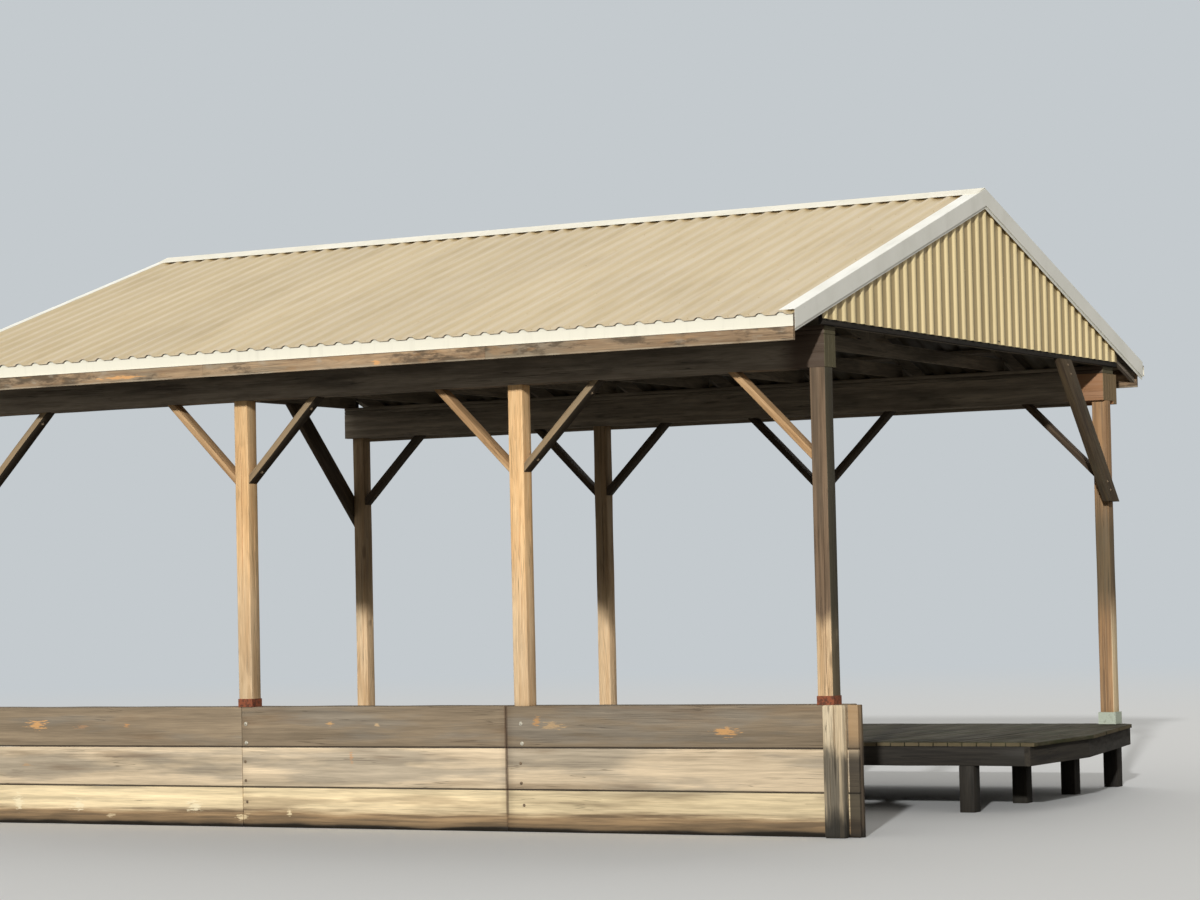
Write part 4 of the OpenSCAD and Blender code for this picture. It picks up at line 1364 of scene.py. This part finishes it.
class BOATHOUSE_OT_deck(BoathouseOperator):
    """Lay the deck boards, and build the timbers under them"""
    bl_idname = "boathouse.deck"
    bl_label = "Deck"

    def execute(self, context):
        s = self.sizes()
        lo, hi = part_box("deck_boards")
        top = [p for p in solids_of("deck_boards")[0] if abs(p.z - hi.z) < TOUCH]
        count = round((hi.x - lo.x) / (s.deck_board + s.deck_gap))
        step = (hi.x - lo.x + s.deck_gap) / count
        wide = step - s.deck_gap
        lumber = self.lumber()
        lumber.board((-wide / 2, lo.y + 0.002, lo.z), (wide / 2, hi.y - 0.002, hi.z - 0.0015),
                     Y, X, 501, arris=0.004, step=0.3, wander=0.0012)
        sample = lumber.loose("deck_board_sample", finishes["deck"])
        values = {"Board": sample, "Count": count, "First": (lo.x + wide / 2, 0, 0),
                  "Step": (step, 0, 0), "Slack": (0.0015, 0.0, 0.0012), "Seed": 7,
                  "Material": finishes["deck"]}
        deck = grown("deck_board_row", row_tree(), values)
        bpy.data.objects.remove(sample)
        # The deck's right end is cut askew, so the last boards are shorter
        askew = max(p.x for p in top if abs(p.y - hi.y) < TOUCH)
        corner = max(p.y for p in top if abs(p.x - hi.x) < TOUCH)
        for vertex in deck.data.vertices:
            if vertex.co.x > askew:
                share = (vertex.co.x - askew) / (hi.x - askew)
                limit = hi.y + (corner - hi.y) * share
                vertex.co.y = lo.y + (vertex.co.y - lo.y) * (limit - lo.y) / (hi.y - lo.y)
        finished(deck, ["deck_boards"])
        for node, along, wide_axis, seed in (("deck_stringers", X, Z, 521),
                                             ("deck_piles", Z, X, 541)):
            self.boards(node, f"{node}_timber", "under", "deck_timber", along, wide_axis, seed,
                        step=0.4)
        return {"FINISHED"}


class BOATHOUSE_OT_sheets(BoathouseOperator):
    """Lay the ribbed panels of the roof and of the gable ends"""
    bl_idname = "boathouse.sheets"
    bl_label = "Ribbed sheets"

    def panels(self, name, node, kind, axis, point, reach, flip, seed, extra=()):
        """Lays panels side by side over a packed sheet whose ribs repeat along an axis."""
        s = self.sizes()
        lo, hi = (corner[axis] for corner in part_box(node))
        ribs = rib_places(node, axis)
        rng = random.Random(seed)
        sheet = Ribbed(s)
        for start in range(0, len(ribs), s.sheet_ribs):
            stop = min(start + s.sheet_ribs, len(ribs))
            lap = stop < len(ribs)
            own = ribs[start:stop + 1] if lap else ribs[start:stop]
            first = lo if start == 0 else own[0] - s.rib_foot / 2 - 0.03
            last = own[-1] + s.rib_foot / 2 + 0.012 if lap else hi
            sheet.panel(first, last, own, lap, point, reach, flip, rng, extra=extra)
        sheet.build(name, finishes[kind], finishes["underside"], f"{kind}_sheet", [node])

    def execute(self, context):
        for side, row in ((-1, "near"), (1, "far")):
            node = f"{row}_roof_sheet"
            corners = [v.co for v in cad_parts[node].data.vertices]
            foot = min(corners, key=lambda p: p.z)
            head = max(corners, key=lambda p: -side * p.y)
            origin = Vector((0, foot.y, foot.z))
            up = Vector((0, head.y - foot.y, head.z - foot.z))
            length = up.length
            up.normalize()
            out = Vector((0, side * up.z, abs(up.y)))

            def point(place, along, height, origin=origin, up=up, out=out):
                return Vector((place, 0, 0)) + origin + up * along + out * height

            self.panels(f"{row}_roof_panels", node, "roof", X, point,
                        lambda place, length=length: length, side > 0, 61 + side)
        for side, name in ((1, "right"), (-1, "left")):
            node = f"{name}_gable_sheet"
            lo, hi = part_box(node)
            middle = (lo.y + hi.y) / 2
            back = lo.x if side > 0 else hi.x

            def point(place, along, height, back=back, side=side, floor=lo.z):
                return Vector((back + side * height, place, floor + along))

            def reach(place, middle=middle, top=hi.z - lo.z):
                return top - abs(place - middle) * ROOF_RISE - 0.001

            self.panels(f"{name}_gable_panels", node, "gable", Y, point, reach, side < 0,
                        71 + side, extra=(middle,))
        return {"FINISHED"}


class BOATHOUSE_OT_roof_metal(BoathouseOperator):
    """Fit the rib closures, foam strips and screws of the roof and gable sheets"""
    bl_idname = "boathouse.roof_metal"
    bl_label = "Roof closures and screws"

    def execute(self, context):
        ribs = rib_places("near_roof_sheet", X)
        self.closures(ribs)
        self.screws(ribs)
        return {"FINISHED"}

    def closures(self, ribs):
        """Closes the ribs and the flats at the eaves, from gap to crest above the trims. The dark
        foam behind them is real foam that also stands in for the shadow under the sheets' edge and
        inside each rib.
        """
        s = self.sizes()
        gap, crest, set_back = 0.008, 0.028, 0.009
        half = s.rib_foot / 2
        crown = half - (crest - gap) * (s.rib_foot - s.rib_top) / 2 / s.rib_height
        for side, row in ((-1, "near"), (1, "far")):
            lo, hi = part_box(f"{row}_eave_trim")
            face, top = (lo.y if side < 0 else hi.y) - set_back * side, hi.z
            closures, foam = Solid(), Solid()

            def between(front, rear):
                return sorted((face - front * side, face - rear * side), reverse=True)

            def close_rib(solid, x, front, rear, sole, over, shaved=(0.0, 0.0, 0.0)):
                section = [(x - half + shaved[0], 0, top - sole), (x + half, 0, top - sole),
                           (x + half, 0, top + gap), (x + crown, 0, top + crest + over),
                           (x - crown + shaved[1], 0, top + crest + over),
                           (x - half + shaved[2], 0, top + gap)]
                solid.swept(section, [(0, y, 0) for y in between(front, rear)])

            for x in ribs:
                close_rib(closures, x, -0.0012, 0.006, 0.004, 0.0, (0.006, 0.016, 0.008))
                # Dark foam behind each closure: real foam, and painted shadow inside the rib
                close_rib(foam, x, 0.0065, 0.014, 0.003, 0.002)
            far_y, near_y = between(0.006, 0.014)
            for a, b in zip(ribs, ribs[1:]):
                foam.brick((a + half, near_y, top - 0.003), (b - half, far_y, top + gap), 0.001)
            closures.build(f"{row}_rib_closures", finishes["trim"], "white_trim")
            foam.build(f"{row}_foam_strips", finishes["foam"], "roof_sheet")

    def screws(self, ribs):
        """Screws the sheets to the purlins and the girts, beside their ribs: the roof beside every
        rib but the last on its first and last purlin, and beside every other one between."""
        beside, above_purlin = 0.062, PURLIN_HALF + 0.002
        roof, gable = [], []
        for side, row in ((-1, "near"), (1, "far")):
            normal = Vector((0, side * math.sin(SLOPE), math.cos(SLOPE)))
            rows = boxes_of(f"{row}_purlins")
            for n, (lo, hi) in enumerate(rows):
                middle = (lo + hi) / 2
                every = 1 if n in (0, len(rows) - 1) else 2
                for x in ribs[:-1:every]:
                    spot = Vector((x + beside, middle.y, middle.z)) + normal * above_purlin
                    roof.append((spot, normal, 1.0))
        for side, name in ((1, "right_gable_sheet"), (-1, "left_gable_sheet")):
            lo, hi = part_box(name)
            face = lo.x + 0.002 if side > 0 else hi.x - 0.002
            girts = [girt for girt in boxes_of("gable_girts") if (girt[0].x > 0) == (side > 0)]
            for y in (rib + beside for rib in rib_places(name, Y)):
                for girt_lo, girt_hi in girts:
                    if girt_lo.y + 0.05 < y < girt_hi.y - 0.05:
                        z = (girt_lo.z + girt_hi.z) / 2 + 0.012
                        gable.append((Vector((face, y, z)), Vector((side, 0, 0)), 1.0))
        screw = sheet_screw(self.sizes().screw_washer)
        for kind, places, finish in (("roof", roof, "painted"), ("gable", gable, "gable_painted")):
            item = screw.loose("sheet_screw_item", finishes[finish])
            repeat(f"{kind}_sheet_screws", item, places, finish)
            bpy.data.objects.remove(item)


class BOATHOUSE_OT_fixings(BoathouseOperator):
    """Fit the bolts of the bulkhead and the braces"""
    bl_idname = "boathouse.fixings"
    bl_label = "Bolts"

    def execute(self, context):
        bolt = hex_bolt(self.sizes().bolt_washer).loose("bolt_item", finishes["bright"])
        upper, lower = self.wall_bolts()
        repeat("bulkhead_bolts", bolt, upper, "bright")
        repeat("bulkhead_low_bolts", bolt, lower, "old_bolt")
        repeat("brace_bolts", bolt, self.brace_bolts(), "old_bolt")
        bpy.data.objects.remove(bolt)
        return {"FINISHED"}

    def wall_bolts(self):
        """Bolts through the planks into each pile, two in the top course and three below."""
        y = low("bulkhead_planks").y
        rng = random.Random(23)
        upper, lower = [], []
        for lo, hi in boxes_of("near_piles"):
            for group, size, heights in zip((upper, lower), (0.75, 0.6), BOLT_HEIGHTS):
                for z in heights:
                    spot = Vector(((lo.x + hi.x) / 2 + rng.uniform(-0.02, 0.02), y, z))
                    group.append((spot, Vector((0, -1, 0)), size))
        return upper, lower

    def brace_bolts(self):
        """Two bolts at each end of the gable braces, and one at each end of the knee braces."""
        places = []
        for points in solids_of("gable_braces"):
            lo, hi = box_of(points)
            side = 1 if lo.x > 0 else -1
            face = hi.x if side > 0 else lo.x
            start = Vector((face, mean_y(points, lo.z), lo.z))
            axis = (Vector((face, mean_y(points, hi.z), hi.z)) - start).normalized()
            length = (hi.z - lo.z) / axis.z
            for at in (0.16, 0.28, length - 0.20, length - 0.08):
                places.append((start + axis * at, Vector((side, 0, 0)), 0.6))
        for points in solids_of("near_knee_braces") + solids_of("far_knee_braces"):
            lo, hi, lean = knee(points)
            y = (lo.y + hi.y) / 2
            foot_x, head_x = (lo.x, hi.x) if lean > 0 else (hi.x, lo.x)
            for x, z, inward in ((foot_x, lo.z, 0.11), (head_x, hi.z, -0.11)):
                spot = Vector((x + lean * inward, y, z + inward))
                places.append((spot, Vector((lean, 0, -1)).normalized(), 0.75))
        return places


class BOATHOUSE_OT_stage(BoathouseOperator):
    """Set the floor, the backdrop, the lamps and the camera"""
    bl_idname = "boathouse.stage"
    bl_label = "Stage"

    def execute(self, context):
        scene = context.scene
        scene.view_settings.view_transform = "Standard"
        self.floor()
        self.world(scene)
        self.lamp("Key lamp", 18, 15.2, 2.6, 1.5)
        self.lamp("Fill lamp", 205, 38, 0.7, 60)
        self.camera(scene)
        return {"FINISHED"}

    def floor(self):
        """A wide disc just below the water level that fades into the backdrop far away."""
        mesh = bmesh.new()
        bmesh.ops.create_circle(mesh, cap_ends=True, segments=96, radius=400)
        data = bpy.data.meshes.new("floor")
        mesh.to_mesh(data)
        mesh.free()
        floor = linked("floor", data)
        floor.location.z = -0.001
        f = Finish("Floor", roughness=0.9)
        f.shader.inputs["Specular IOR Level"].default_value = 0.1
        seen = put(f.tree, "ShaderNodeLightPath").outputs["Is Camera Ray"]
        f.tree.links.new(f.mix(seen, linear(114, 112, 108), linear(226, 227, 226)),
                         f.shader.inputs["Base Color"])
        far = f.step(f.distance(f.place), 12, 60)
        glow = put(f.tree, "ShaderNodeEmission", {"Color": linear(*BACKDROP), "Strength": 1.0})
        blend = put(f.tree, "ShaderNodeMixShader",
                    {0: f.times(far, seen), 1: f.shader.outputs[0], 2: glow.outputs[0]})
        out = f.tree.nodes["Material Output"]
        f.tree.links.new(blend.outputs[0], out.inputs[0])
        data.materials.append(f.material)

    def world(self, scene):
        """Soft light all round, with the plain backdrop where the camera sees it."""
        world = bpy.data.worlds.new("Studio")
        scene.world = world
        world.use_nodes = True
        tree = world.node_tree
        tree.nodes.clear()
        seen = put(tree, "ShaderNodeLightPath").outputs["Is Camera Ray"]
        soft = put(tree, "ShaderNodeBackground", {"Color": (1.0, 0.97, 0.92, 1), "Strength": 0.43})
        plain = put(tree, "ShaderNodeBackground", {"Color": linear(*BACKDROP), "Strength": 1.0})
        both = put(tree, "ShaderNodeMixShader", {0: seen, 1: soft.outputs[0], 2: plain.outputs[0]})
        put(tree, "ShaderNodeOutputWorld", {0: both.outputs[0]})

    def lamp(self, name, azimuth, elevation, strength, spread):
        """A sun. The angles are in degrees, the azimuth from -Y towards +X."""
        data = bpy.data.lights.new(name, "SUN")
        data.energy, data.angle = strength, math.radians(spread)
        lamp = linked(name, data)
        a, e = math.radians(azimuth), math.radians(elevation)
        toward = Vector((math.sin(a) * math.cos(e), -math.cos(a) * math.cos(e), math.sin(e)))
        lamp.rotation_mode = "QUATERNION"
        lamp.rotation_quaternion = toward.to_track_quat("Z", "Y")
        lamp.location = toward * 40

    def camera(self, scene):
        """The camera, set out from the foot of the right near post."""
        data = bpy.data.cameras.new("Camera")
        data.sensor_width, data.lens = 36.0, 97.76
        data.clip_start, data.clip_end = 0.5, 2000
        camera = linked("Camera", data)
        yaw, pitch, roll = (math.radians(a) for a in (28.89, 2.566, -1.274))
        ahead = Vector((-math.sin(yaw), math.cos(yaw), 0))
        right = Vector((math.cos(yaw), math.sin(yaw), 0))
        up = Vector((0, 0, 1))
        view = ahead * math.cos(pitch) + up * math.sin(pitch)
        over = up * math.cos(pitch) - ahead * math.sin(pitch)
        x_axis = right * math.cos(roll) + over * math.sin(roll)
        y_axis = over * math.cos(roll) - right * math.sin(roll)
        turn = Matrix((x_axis, y_axis, -view)).transposed()
        lo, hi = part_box("near_post_1")
        place = (hi.x + 11.908, lo.y - 25.656, 2.124)
        camera.matrix_world = Matrix.Translation(place) @ turn.to_4x4()
        scene.camera = camera


STEPS = [BOATHOUSE_OT_finishes, BOATHOUSE_OT_posts, BOATHOUSE_OT_corner_piles,
         BOATHOUSE_OT_bulkhead, BOATHOUSE_OT_beams, BOATHOUSE_OT_braces, BOATHOUSE_OT_edges,
         BOATHOUSE_OT_deck, BOATHOUSE_OT_sheets, BOATHOUSE_OT_roof_metal, BOATHOUSE_OT_fixings,
         BOATHOUSE_OT_stage]


class BOATHOUSE_PT_panel(bpy.types.Panel):
    """Lists the sizes, the colours and the steps of the boathouse"""
    bl_idname = "BOATHOUSE_PT_panel"
    bl_label = "Boathouse"
    bl_space_type = "VIEW_3D"
    bl_region_type = "UI"
    bl_category = "Boathouse"

    def draw(self, context):
        for title, group in (("Sizes", context.scene.boathouse_sizes),
                             ("Colours", context.scene.boathouse_colours)):
            box = self.layout.box()
            box.label(text=title)
            for name in group.__annotations__:
                box.prop(group, name)
        for step in STEPS:
            self.layout.operator(step.bl_idname)


CLASSES = [BoathouseSizes, BoathouseColours, *STEPS, BOATHOUSE_PT_panel]


def register():
    for made in CLASSES:
        bpy.utils.register_class(made)
    bpy.types.Scene.boathouse_sizes = PointerProperty(type=BoathouseSizes)
    bpy.types.Scene.boathouse_colours = PointerProperty(type=BoathouseColours)


def unregister():
    del bpy.types.Scene.boathouse_sizes
    del bpy.types.Scene.boathouse_colours
    for made in reversed(CLASSES):
        bpy.utils.unregister_class(made)


def main():
    register()
    for step in STEPS:
        area, name = step.bl_idname.split(".")
        getattr(getattr(bpy.ops, area), name)()


if __name__ == "__main__":
    main()
